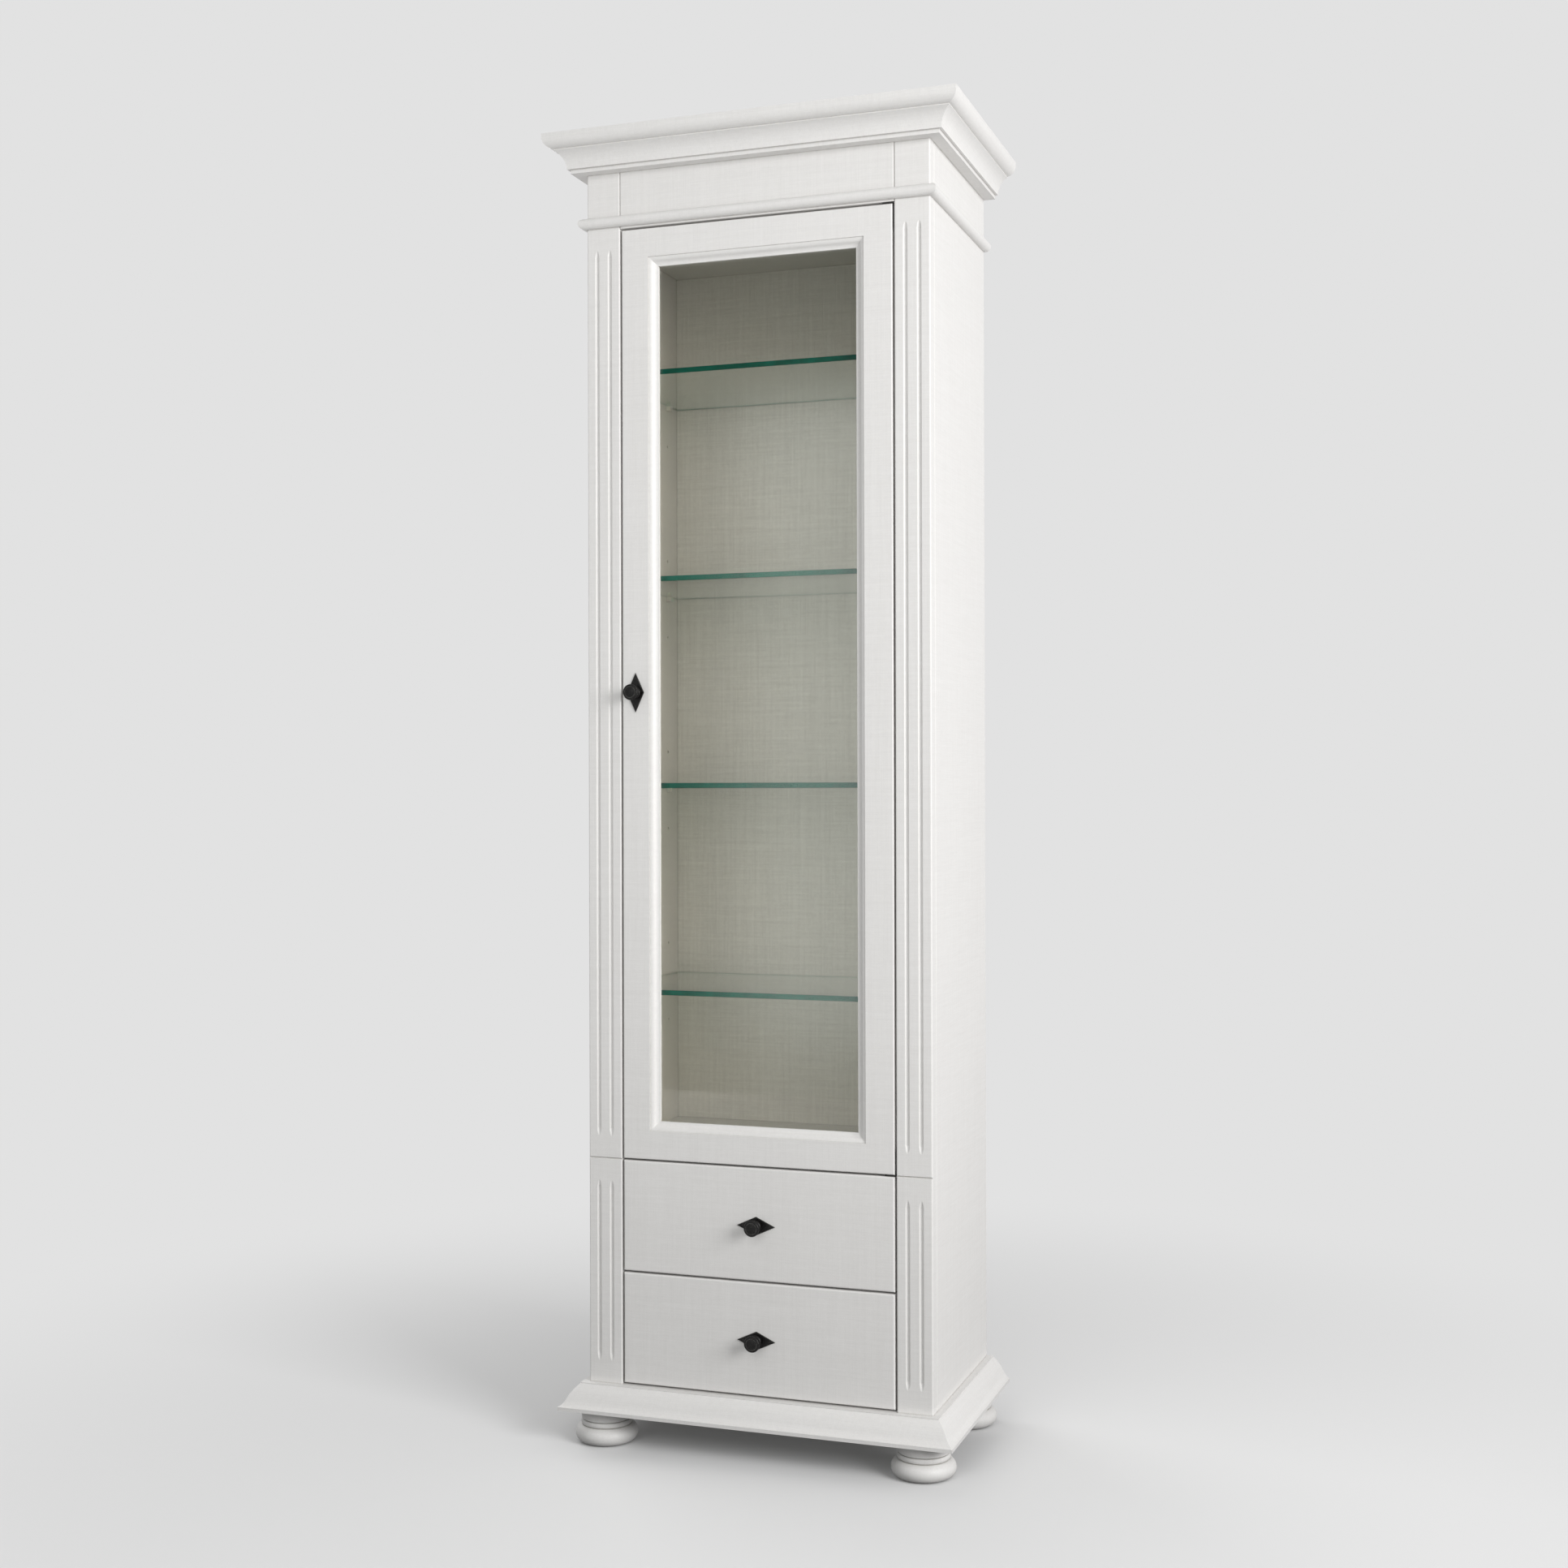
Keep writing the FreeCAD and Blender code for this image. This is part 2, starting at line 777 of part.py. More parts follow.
def shelves():
    half = side_inner - S.shelf_side_gap
    depth = (front + S.shelf_setback, back_face - S.shelf_back_gap)
    for i in range(SHELF_COUNT):
        z = shelf_z + shelf_spacing * i
        label = f"glass_shelf_{i + 1}"
        keep(label, box(label, (-half, half), depth, (z, z + S.shelf_thickness)))


def shelf_pegs():
    body = new_body("shelf_pegs", ZERO, peg_front_y, peg_axis_z)
    body.AllowCompound = True
    pin_sketch = new_sketch(body, "YZ_Plane", side_inner)
    round_hole(pin_sketch, ZERO, ZERO, S.peg_hole_radius - S.peg_clearance)
    pin = pad(body, pin_sketch, S.peg_length)
    ledge_sketch = new_sketch(body, "YZ_Plane", side_inner)
    half_ledge = S.peg_ledge_width / 2
    half_height = S.peg_ledge_height / 2
    outline(ledge_sketch, rectangle((-half_ledge, half_ledge), (-half_height, half_height)))
    ledge = pad(body, ledge_sketch, S.peg_ledge_length, backwards=True)
    doc.recompute()
    other_side = body.newObject("PartDesign::Mirrored", "pegs_other_side")
    other_side.MirrorPlane = (origin_plane(body, "YZ_Plane"), [""])
    steps = [line_pattern(body, pin_sketch, "V_Axis", shelf_climb, SHELF_COUNT),
             line_pattern(body, pin_sketch, "H_Axis", peg_row_length, 2),
             other_side]
    repeat(body, [pin, ledge], steps)
    keep("shelf_pegs", body)


# Door

def door_frame():
    for hand, sign in (("left", -1), ("right", 1)):
        label = f"door_stile_{hand}"
        body = new_body(label, front_half * sign, front, door_z)
        plan = new_sketch(body, "XY_Plane")
        outline(plan, rectangle((-S.door_frame_width * sign, ZERO), (ZERO, S.door_thickness)))
        pad(body, plan, S.door_height)
        dress(body, "Fillet", "Radius", S.door_round,
              lambda point: near(point.y, 0) and not near(abs(point.x), S.door_frame_width))
        for low in (ZERO, S.door_height - S.door_frame_width):
            high = low + S.door_frame_width
            cut_mortise(body, sign, -S.door_frame_width * sign, S.door_thickness, low, high)
        if sign > 0:
            pivot_seats(body)
        else:
            stud_hole(body, S.door_frame_width / 2, S.door_knob_rise)
        keep(label, body)
    half = front_half - S.door_frame_width
    top_rail_z = door_top - S.door_frame_width
    for end, z, outer in (("bottom", door_z, ZERO), ("top", top_rail_z, S.door_frame_width)):
        label = f"door_rail_{end}"
        body = new_body(label, ZERO, front, z)
        plan = new_sketch(body, "XY_Plane")
        outline(plan, rectangle((-half, half), (ZERO, S.door_thickness)))
        pad(body, plan, S.door_frame_width)
        dress(body, "Fillet", "Radius", S.door_round,
              lambda point: near(point.y, 0) and near(point.z, outer))
        add_tenons(body, half, S.door_thickness, S.door_frame_width)
        keep(label, body)


def pivot_seats(body):
    """Lets the two pivot sockets into the ends of the door's right stile."""
    x = (-S.pivot_inset - S.pivot_plate_overhang, -S.pivot_inset + S.pivot_plate_overhang)
    half = S.pivot_plate_width / 2
    y = (S.pivot_setback - half, S.pivot_setback + half)
    barrel_depth = socket_depth()
    for end, upward in ((ZERO, True), (S.door_height, False)):
        seat = new_sketch(body, "XY_Plane", end)
        outline(seat, rectangle(x, y))
        pocket(body, seat, S.pivot_plate_thickness, backwards=upward)
        bore = new_sketch(body, "XY_Plane", end)
        round_hole(bore, -S.pivot_inset, S.pivot_setback, S.pivot_barrel_radius)
        pocket(body, bore, barrel_depth, backwards=upward)


def socket_depth():
    return S.pivot_pin_length + S.pivot_barrel_end


def door_moulding_section(upright):
    """Corners of the section as (across, depth) for an upright length, else as (depth, across)."""
    drop = (S.moulding_drop - S.moulding_step) / 2
    run = S.moulding_width / 2
    swell = upright_arc(drop, run)
    turn = -1 if upright else 1
    corners = [
        (ZERO, S.moulding_step, swell, turn),
        (ZERO, S.glass_setback),
        (S.moulding_width, S.glass_setback),
        (S.moulding_width, S.moulding_drop),
        (run, S.moulding_step + drop, swell, -turn),
    ]
    if upright:
        return corners
    return [(depth, across, *arc) for across, depth, *arc in corners]


def door_mouldings():
    """Four lengths round the pane, mitred where they meet."""
    half = front_half - S.door_frame_width
    height = S.door_height - S.door_frame_width * 2
    low = door_z + S.door_frame_width
    width = S.moulding_width

    left = new_body("door_moulding_left", -half, front, low)
    section = new_sketch(left, "XY_Plane")
    outline(section, door_moulding_section(True))
    pad(left, section, height)
    for end, tip in ((ZERO, width), (height, height - width)):
        mitre = new_sketch(left, "XZ_Plane")
        outline(mitre, [(ZERO, end), (width, end), (width, tip)])
        pocket(left, mitre)
    keep("door_moulding_left", left)
    keep("door_moulding_right", mirror("door_moulding_right", left, ACROSS))

    bottom = new_body("door_moulding_bottom", ZERO, front, low)
    section = new_sketch(bottom, "YZ_Plane")
    outline(section, door_moulding_section(False))
    pad(bottom, section, half * 2, side="Symmetric")
    for sign in (1, -1):
        mitre = new_sketch(bottom, "XZ_Plane")
        outline(mitre, [(half * sign, ZERO), (half * sign, width), ((half - width) * sign, width)])
        pocket(bottom, mitre)
    keep("door_moulding_bottom", bottom)
    keep("door_moulding_top", mirror("door_moulding_top", bottom, UPWARD, door_middle))


def glazing():
    inner_x = front_half - S.door_frame_width
    low = door_z + S.door_frame_width
    high = door_top - S.door_frame_width
    glass_y = (front + S.glass_setback, front + S.glass_setback + S.glass_thickness)
    gap = S.glass_edge_gap
    keep("door_glass", box("door_glass", (gap - inner_x, inner_x - gap), glass_y, (low + gap, high - gap)))
    bead_y = (glass_y[1], front + S.door_thickness)
    bead_x = inner_x - S.bead_width
    group("glazing_beads", [
        box("bead_left", (-inner_x, -bead_x), bead_y, (low, high)),
        box("bead_right", (bead_x, inner_x), bead_y, (low, high)),
        box("bead_bottom", (-bead_x, bead_x), bead_y, (low, low + S.bead_width)),
        box("bead_top", (-bead_x, bead_x), bead_y, (high - S.bead_width, high)),
    ])


def pivots():
    """Pins on the stile's brackets turn in sockets at the door's two ends."""
    half = S.pivot_plate_width / 2
    y = (pivot_y - half, pivot_y + half)
    near_x = pivot_x - S.pivot_plate_overhang
    leaf_x = opening_half + S.pivot_plate_thickness
    low = pivot_leaf_floor()[0]
    arm_top = low + S.pivot_plate_thickness
    bracket = fuse("lower_bracket", [
        box("bracket_arm", (near_x, leaf_x), y, (low, arm_top)),
        box("bracket_leaf", (opening_half, leaf_x), y, (low, low + S.pivot_leaf_length)),
        cylinder("bracket_pin", pivot_x, pivot_y, arm_top, S.pivot_pin_radius, S.pivot_pin_length),
    ])
    group("pivot_brackets", [bracket, mirror("upper_bracket", bracket, UPWARD, door_middle)])

    plate_x = (near_x, pivot_x + S.pivot_plate_overhang)
    whole = fuse("socket_blank", [
        box("socket_plate", plate_x, y, (arm_top, door_z + S.pivot_plate_thickness)),
        cylinder("socket_barrel", pivot_x, pivot_y, door_z, S.pivot_barrel_radius, socket_depth()),
    ])
    bore_depth = S.pivot_pin_length + S.pivot_barrel_end / 2
    bore_radius = S.pivot_pin_radius + S.pivot_clearance
    bore = cylinder("socket_bore", pivot_x, pivot_y, arm_top, bore_radius, bore_depth)
    socket = cut("lower_socket", whole, bore)
    group("pivot_sockets", [socket, mirror("upper_socket", socket, UPWARD, door_middle)])


def door_catch():
    x = S.catch_inset - front_half
    y = front + S.door_thickness + S.catch_gap
    keep("door_catch", box("door_catch", (x, x + S.catch_length), (y, y + S.catch_depth),
                           (frieze_z - S.catch_height, frieze_z)))


# Knobs and their lozenge plates

def knob_section():
    """Half of the knob's outline; it reaches forward along -y, and its stud back along +y."""
    bead = S.knob_bead_length / 2
    bead_flat = S.knob_bead_radius - bead
    neck_end = S.knob_bead_length + S.knob_neck_length
    rim = S.knob_rim / 2
    rim_flat = S.knob_radius - rim
    face = S.knob_reach - S.knob_dome
    rim_low = face - S.knob_rim
    ring_inner = S.knob_ring_radius - S.knob_ring_width
    ring_floor = face - S.knob_ring_depth
    stud_end = S.plate_thickness + S.knob_stud_length
    return [
        (ZERO, stud_end),
        (S.knob_stud_radius, stud_end),
        (S.knob_stud_radius, ZERO),
        (bead_flat, ZERO),
        (S.knob_bead_radius, -bead, bead, -1),
        (bead_flat, -S.knob_bead_length, bead, -1),
        (S.knob_neck_radius, -S.knob_bead_length),
        (S.knob_neck_radius, -neck_end),
        (rim_flat, -rim_low, upright_arc(rim_flat - S.knob_neck_radius, rim_low - neck_end), 1),
        (S.knob_radius, -rim_low - rim, rim, -1),
        (rim_flat, -face, rim, -1),
        (S.knob_ring_radius, -face),
        (S.knob_ring_radius, -ring_floor),
        (ring_inner, -ring_floor),
        (ring_inner, -face),
        (ZERO, -S.knob_reach, upright_arc(S.knob_dome, ring_inner), -1),
    ]


def knob(prefix, x, z, upright):
    label = f"{prefix}_knob"
    body = new_body(label, x, knob_y, z)
    sketch = new_sketch(body, "XY_Plane")
    outline(sketch, knob_section())
    revolve(body, sketch)
    keep(label, body)

    across, high = (S.plate_width, S.plate_length) if upright else (S.plate_length, S.plate_width)
    plate = new_body(f"{label}_plate", x, front, z)
    sketch = new_sketch(plate, "XZ_Plane")
    outline(sketch, [(across / 2, ZERO), (ZERO, high / 2), (-across / 2, ZERO), (ZERO, -high / 2)])
    pad(plate, sketch, S.plate_thickness)
    dress(plate, "Chamfer", "Size", S.plate_bevel, lambda point: near(point.y, -S.plate_thickness))
    hole = new_sketch(plate, "XZ_Plane")
    round_hole(hole, ZERO, ZERO, S.knob_stud_radius + S.knob_stud_clearance)
    pocket(plate, hole, backwards=True)
    keep(f"{label}_plate", plate)


def stud_hole(body, x, z):
    """A blind hole in the body's front face for a knob's stud."""
    hole = new_sketch(body, "XZ_Plane")
    round_hole(hole, x, z, S.knob_stud_radius + S.knob_stud_clearance)
    pocket(body, hole, S.knob_stud_length + S.knob_stud_end_gap)


# Drawers on wooden runners

def drawer(prefix, front_z):
    body = new_body(f"{prefix}_front", ZERO, front, front_z)
    sketch = new_sketch(body, "XZ_Plane")
    outline(sketch, rectangle((-front_half, front_half), (ZERO, S.drawer_front_height)))
    pad(body, sketch, S.drawer_front_thickness, backwards=True)
    dress(body, "Fillet", "Radius", S.drawer_front_round, lambda point: near(point.y, 0))
    stud_hole(body, ZERO, S.drawer_knob_rise)

    box_z = front_z + S.drawer_box_rise
    box_half = front_half - S.drawer_side_gap
    inner = box_half - S.drawer_side_thickness
    in_groove = inner + S.drawer_bottom_groove
    box_front = front + S.drawer_front_thickness
    box_rear = back_face - S.drawer_back_gap
    bottom_z = box_z + S.drawer_bottom_rise
    bottom_top = bottom_z + S.drawer_bottom_thickness
    groove = new_sketch(body, "XZ_Plane", -S.drawer_front_thickness)
    outline(groove, rectangle((-in_groove, in_groove), (bottom_z - front_z, bottom_top - front_z)))
    pocket(body, groove, S.drawer_bottom_groove, backwards=True)
    keep(f"{prefix}_front", body)

    side = new_body(f"{prefix}_side_right", ZERO, box_front, box_z)
    sketch = new_sketch(side, "XZ_Plane")
    outline(sketch, drawer_side_section(inner, box_half))
    pad(side, sketch, box_rear - box_front, backwards=True)
    keep(f"{prefix}_side_right", side)
    keep(f"{prefix}_side_left", mirror(f"{prefix}_side_left", side, ACROSS))
    keep(f"{prefix}_bottom", box(f"{prefix}_bottom", (-in_groove, in_groove),
                                 (box_front - S.drawer_bottom_groove, box_rear), (bottom_z, bottom_top)))
    back_y = box_rear - S.drawer_side_thickness
    keep(f"{prefix}_back", box(f"{prefix}_back", (-inner, inner), (back_y, box_rear),
                               (bottom_top, box_z + S.drawer_box_height)))
    knob(prefix, ZERO, front_z + S.drawer_knob_rise, False)
    runners(prefix, box_z + S.tongue_rise)


def drawer_side_section(inner, outer):
    """A groove outside for the runner's tongue and one inside for the bottom."""
    groove_x = opening_half - S.tongue_reach - S.tongue_end_gap
    groove_z = S.tongue_rise - S.tongue_height - S.tongue_clearance
    in_groove = inner + S.drawer_bottom_groove
    bottom_top = S.drawer_bottom_rise + S.drawer_bottom_thickness
    return [
        (inner, ZERO),
        (outer, ZERO),
        (outer, groove_z),
        (groove_x, groove_z),
        (groove_x, S.tongue_rise),
        (outer, S.tongue_rise),
        (outer, S.drawer_box_height),
        (inner, S.drawer_box_height),
        (inner, bottom_top),
        (in_groove, bottom_top),
        (in_groove, S.drawer_bottom_rise),
        (inner, S.drawer_bottom_rise),
    ]


def runners(prefix, tongue_top):
    """A packer on each side panel, with a tongue that carries the drawer's side."""
    packer = S.runner_height / 2
    tongue = S.tongue_height / 2
    tip = opening_half - S.tongue_reach
    right = new_body(f"{prefix}_runner", ZERO, stile_back, tongue_top - tongue)
    sketch = new_sketch(right, "XZ_Plane")
    outline(sketch, [
        (side_inner, -packer),
        (side_inner, packer),
        (opening_half, packer),
        (opening_half, tongue),
        (tip, tongue),
        (tip, -tongue),
        (opening_half, -tongue),
        (opening_half, -packer),
    ])
    pad(right, sketch, back_face - S.runner_back_gap - stile_back, backwards=True)
    group(f"{prefix}_runners", [right, mirror(f"{prefix}_runner_left", right, ACROSS)])


carcass_boards()
base_board()
carcass_rail("frieze_rail", frieze_z, S.frieze_height)
carcass_rail("sill_rail", base_board_top, base_top - base_board_top)
stile("stile_left", -1)
pivot_recesses(stile("stile_right", 1))
side_panel("side_panel_left", -1)
side_panel("side_panel_right", 1)
moulding("cornice", cornice_section, S.cornice_reach, carcass_top)
moulding("astragal", astragal_section, S.astragal_reach, astragal_z)
moulding("base_moulding", base_section, S.base_reach, S.foot_height)
feet()
shelves()
shelf_pegs()
door_frame()
door_mouldings()
glazing()
pivots()
door_catch()
knob("door", -front_half + S.door_frame_width / 2, door_z + S.door_knob_rise, True)
drawer("lower_drawer", lower_front_z)
drawer("upper_drawer", upper_front_z)
doc.recompute()

for thing in doc.Objects:
    if "Invalid" in thing.State or "Error" in thing.State:
        raise RuntimeError(f"{thing.Label} did not compute: {thing.State}")
os.makedirs("parts", exist_ok=True)
for label, piece in pieces.items():
    if piece.Shape.isNull() or not piece.Shape.isValid():
        raise RuntimeError(f"{label} has no sound shape")
    piece.Shape.exportStep(f"parts/{label}.step")
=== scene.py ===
"""Looks of a tall white display cabinet: its finishes, its small trim and the studio."""

import math

import bmesh
import bpy
from bpy.props import FloatProperty, FloatVectorProperty, IntProperty, PointerProperty
from mathutils import Matrix, Vector


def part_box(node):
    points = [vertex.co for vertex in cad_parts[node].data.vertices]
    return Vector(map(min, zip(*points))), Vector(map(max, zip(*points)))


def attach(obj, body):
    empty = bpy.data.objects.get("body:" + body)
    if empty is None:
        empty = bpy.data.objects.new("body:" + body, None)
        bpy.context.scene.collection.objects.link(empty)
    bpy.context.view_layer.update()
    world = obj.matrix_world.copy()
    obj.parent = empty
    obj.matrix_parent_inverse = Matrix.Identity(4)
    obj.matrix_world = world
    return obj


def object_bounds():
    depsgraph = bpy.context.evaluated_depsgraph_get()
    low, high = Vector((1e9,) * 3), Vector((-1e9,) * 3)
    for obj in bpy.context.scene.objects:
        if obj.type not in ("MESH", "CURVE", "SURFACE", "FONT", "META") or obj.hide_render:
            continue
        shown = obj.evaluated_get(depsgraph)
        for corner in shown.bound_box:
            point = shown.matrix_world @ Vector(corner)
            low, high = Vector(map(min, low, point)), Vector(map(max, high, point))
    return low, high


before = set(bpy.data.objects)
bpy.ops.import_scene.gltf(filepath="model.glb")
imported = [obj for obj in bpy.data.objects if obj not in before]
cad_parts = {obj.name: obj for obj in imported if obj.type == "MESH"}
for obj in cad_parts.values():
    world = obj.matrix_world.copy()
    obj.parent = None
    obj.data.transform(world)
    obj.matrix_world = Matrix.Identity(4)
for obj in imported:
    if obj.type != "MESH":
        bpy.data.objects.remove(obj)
cad_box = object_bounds()

bl_info = {
    "name": "Display cabinet",
    "version": (1, 0, 0),
    "blender": (4, 5, 0),
    "location": "3D View > Sidebar > Cabinet",
    "description": "Finishes, small trim and studio of a glazed display cabinet with two drawers",
    "category": "Object",
}

WHITE = (1.0, 1.0, 1.0, 1.0)
FRONTWARD = Vector((0, -1, 0))
REARWARD = Vector((0, 1, 0))
LEFTWARD = Vector((-1, 0, 0))
DOWNWARD = Vector((0, 0, -1))

PLAIN_BOARDS = ("back_panel", "ceiling_panel", "deck_panel", "top_board", "glazing_beads")
DRAWERS = ("upper_drawer", "lower_drawer")


def in_slot(slot):
    """The solids whose finish is that material slot of the record."""
    return [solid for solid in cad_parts.values() if slot in solid.data.materials]


def colour(name, description, default):
    return FloatVectorProperty(
        name=name, description=description, default=default, subtype="COLOR", min=0, max=1
    )


def place(name, description, default):
    return FloatVectorProperty(
        name=name, description=description, default=default, subtype="TRANSLATION"
    )


def length(name, description, default):
    return FloatProperty(
        name=name, description=description, default=default, min=0, unit="LENGTH", precision=5
    )


def share(name, description, default):
    return FloatProperty(
        name=name, description=description, default=default, min=0, max=1, subtype="FACTOR"
    )


def angle(name, description, default):
    return FloatProperty(
        name=name, description=description, default=default, subtype="ANGLE", unit="ROTATION"
    )


def power(name, description, default):
    return FloatProperty(name=name, description=description, default=default, min=0, unit="POWER")


def strength(name, description, default):
    return FloatProperty(name=name, description=description, default=default, min=0)


class CabinetFinish(bpy.types.PropertyGroup):
    """Colours and textures of the cabinet's surfaces."""

    paint: colour("Paint", "Warm white of the painted woodwork", (0.813, 0.801, 0.786))
    paint_shade: colour("Paint shade", "Paint in the hollows of its weave", (0.723, 0.709, 0.692))
    # The back panel is a lighter board than the painted woodwork, and it is made lighter still as
    # painted light that brightens the dim inside
    board: colour("Board", "Lighter white of the back panel", (0.92, 0.915, 0.885))
    board_shade: colour("Board shade", "Hollows of the back panel's grain", (0.65, 0.635, 0.60))
    paint_roughness: share("Paint roughness", "Satin of the paint", 0.46)
    paint_cloud: length("Paint cloud", "Size of the broad changes of tone in the paint", 0.22)
    weave_pitch: length("Weave pitch", "Distance between the paint's brushed threads", 0.0014)
    streak_pitch: length("Streak pitch", "Width of the broader brush streaks in the paint", 0.006)
    weave_depth: length("Weave depth", "Height of the brushed threads", 0.00006)
    # Painted highlight: the paint is lighter along its edges, in a band this wide
    edge_highlight_reach: length("Edge reach", "Width of the rubbed band along an edge", 0.0016)
    # Painted shade: the paint is darkened in tight corners and joints, where shade falls
    corner: colour("Corner", "Dusty shade of the paint in tight corners", (0.42, 0.405, 0.37))
    corner_shade_reach: length("Corner reach", "Width of that shade on each side of a corner", 0.0032)

    wood: colour("Wood", "Pale early wood of the drawer boxes", (0.66, 0.50, 0.33))
    wood_ring: colour("Wood rings", "Darker late wood of the drawer boxes", (0.47, 0.31, 0.17))
    wood_cloud: length("Wood cloud", "Size of the broad changes of tone in the wood", 0.15)
    ring_pitch: length("Ring pitch", "Distance between the growth rings", 0.012)
    ring_depth: length("Ring depth", "Height of the growth rings", 0.00008)

    pane_tint: colour("Pane tint", "What the pane shows of what is behind it", (0.95, 0.948, 0.91))
    pane_clear: colour("Clear pane", "The same where it is wiped clean", (0.95, 0.965, 0.94))
    pane_mirror: share("Pane mirror", "How strongly the pane mirrors what is in front", 0.36)
    pane_shade: colour("Pane shade", "What the pane lets in from the lamps", (0.77, 0.725, 0.635))
    pane_smear: length("Pane smear", "Size of the smears on the pane", 0.12)
    shelf_tint: colour("Shelf tint", "What a shelf's flat lets through", (0.90, 0.96, 0.935))
    shelf_clear: colour("Clear shelf", "The same where it is wiped clean", (0.93, 0.975, 0.955))
    shelf_smear: length("Shelf smear", "Size of the smears on a shelf", 0.09)
    shelf_edge: colour("Shelf edge", "Deep green of a shelf's front edge", (0.004, 0.125, 0.092))
    shelf_edge_dark: colour(
        "Dark shelf edge", "The same where less light runs in the glass", (0.002, 0.070, 0.050)
    )
    shelf_rear: colour("Rear edge", "Pale green of a shelf's other edges", (0.20, 0.42, 0.35))
    shelf_rear_light: colour(
        "Light rear edge", "The same where more light runs in the glass", (0.36, 0.58, 0.50)
    )
    edge_cloud: length("Edge cloud", "Size of the changes of tone along a shelf's edge", 0.03)
    ground_pitch: length("Ground pitch", "Size of the grinding marks on that edge", 0.0008)
    ground_depth: length("Ground depth", "Depth of the grinding marks", 0.00005)
    glass_index: FloatProperty(
        name="Glass index", description="How strongly glass bends light", default=1.5, min=1
    )

    iron: colour("Iron", "Blackened iron of the knobs and plates", (0.009, 0.009, 0.010))
    iron_grey: colour("Grey iron", "Clouds in the blackened iron", (0.029, 0.028, 0.0265))
    iron_rub: colour("Iron rub", "Iron where hands have rubbed it", (0.17, 0.166, 0.156))
    iron_edge: length("Iron edge", "Width of the rubbed band along an iron edge", 0.0011)
    hammer_pitch: length("Hammer pitch", "Size of the hammer marks in the iron", 0.0026)
    hammer_depth: length("Hammer depth", "Depth of the hammer marks", 0.0005)

    steel: colour("Steel", "Plated steel of the catch, pins and screws", (0.60, 0.59, 0.57))
    hinge: colour("Hinge", "Burnished dark steel of the pivot hinges", (0.045, 0.043, 0.041))
    steel_edge: length("Steel edge", "Width of the bright band along a steel edge", 0.0005)
    drawn_pitch: length("Drawn pitch", "Distance between the drawn lines of the steel", 0.0004)
    drawn_depth: length("Drawn depth", "Height of the drawn lines", 0.00003)

    plastic: colour("Plastic", "Milky plastic of the pegs and the catch", (0.80, 0.80, 0.775))
    plastic_pitch: length("Plastic pitch", "Size of the moulded grain of the plastic", 0.0009)
    plastic_depth: length("Plastic depth", "Depth of the moulded grain", 0.00004)


class CabinetTrim(bpy.types.PropertyGroup):
    """Sizes of the small trim that fastens things to the cabinet."""

    nail_radius: length("Nail radius", "Head of a nail in a knob plate", 0.0013)
    nail_inset: length("Nail inset", "Nail's distance from the long tip of its plate", 0.0093)
    pin_radius: length("Pin radius", "Head of a pin in a glazing bead", 0.0009)
    pin_spacing: length("Pin spacing", "Largest distance between two bead pins", 0.24)
    screw_radius: length("Screw radius", "Head of a hinge's or the catch's screw", 0.0024)
    low_screw: length("Low screw", "First hinge screw, from the end of its bracket", 0.015)
    high_screw: length("High screw", "Second hinge screw, from the end of its bracket", 0.032)
    strike_drop: length("Strike drop", "Strike plate's distance from the top of the door", 0.002)
    strike_length: length("Strike length", "Steel plate on the door that the catch holds", 0.034)
    strike_height: length("Strike height", "Height of that plate", 0.011)
    strike_thickness: length("Strike thickness", "Thickness of that plate", 0.0012)
    strike_screw_radius: length("Strike screw radius", "Head of that plate's screws", 0.00216)
    pole_height: length("Pole height", "Steel strip beside the catch's magnet", 0.0016)
    eased_edge: length("Eased edge", "Softened edge of a plain board", 0.0006)
    glass_edge: length("Glass edge", "Ground arris of a glass shelf", 0.0008)
    turning_steps: IntProperty(
        name="Turning steps", description="Facets round a small head", default=20, min=8
    )


class CabinetStage(bpy.types.PropertyGroup):
    """Camera, floor and light."""

    camera: place("Camera", "Where the camera stands", (1.0388, -2.990, 1.0162))
    heading: angle("Heading", "Camera's turn to the left", 0.3352)
    tilt: angle("Tilt", "Camera's tilt upwards", 0.001)
    roll: angle("Roll", "Camera's lean", -0.0025)
    lens: FloatProperty(
        name="Lens", description="Focal length on a 36 mm frame", default=46.18, unit="CAMERA"
    )

    backdrop: colour("Backdrop", "Pale grey behind the cabinet", (0.76, 0.76, 0.76))
    floor: colour("Floor", "Pale floor", (0.85, 0.85, 0.85))
    floor_radius: length("Floor radius", "Size of the round floor", 14.0)
    floor_drop: length("Floor drop", "Floor's distance below the feet", 0.0004)
    fade_start: length("Fade start", "Distance at which the floor begins to fade", 0.4)
    fade_end: length("Fade end", "Distance at which it has become the backdrop", 1.9)
    floor_bounce: colour("Floor bounce", "Light off the floor near the cabinet", (0.09, 0.09, 0.09))
    up_light: colour("Up light", "Light off the floor further away", (0.58, 0.58, 0.58))
    fill: strength("Fill", "Even light from all round", 0.42)

    key: power("Key", "Soft lamp at the right", 124.0)
    key_lamp: place("Key lamp", "Where that lamp hangs", (3.5, -1.9, 1.9))
    key_size: length("Key size", "Side of that square lamp", 1.9)
    front: power("Front", "Soft lamp in front, above", 13.0)
    front_lamp: place("Front lamp", "Where that lamp hangs", (0.3, -3.1, 2.4))
    front_size: length("Front size", "Side of that square lamp", 1.6)
    rear: power("Rear", "Weak soft lamp behind", 34.0)
    rear_lamp: place("Rear lamp", "Where that lamp hangs", (-2.8, 1.9, 2.3))
    rear_size: length("Rear size", "Side of that square lamp", 2.2)

    veil: strength("Veil", "Brightness of the card that the pane mirrors", 1.7)
    veil_tint: colour("Veil tint", "Cool white of that card", (0.95, 1.0, 0.98))
    card: place("Card", "Middle of that card", (-1.10, -3.5, 1.55))
    card_width: length("Card width", "Width of that card", 1.3)
    card_height: length("Card height", "Height of that card", 3.1)


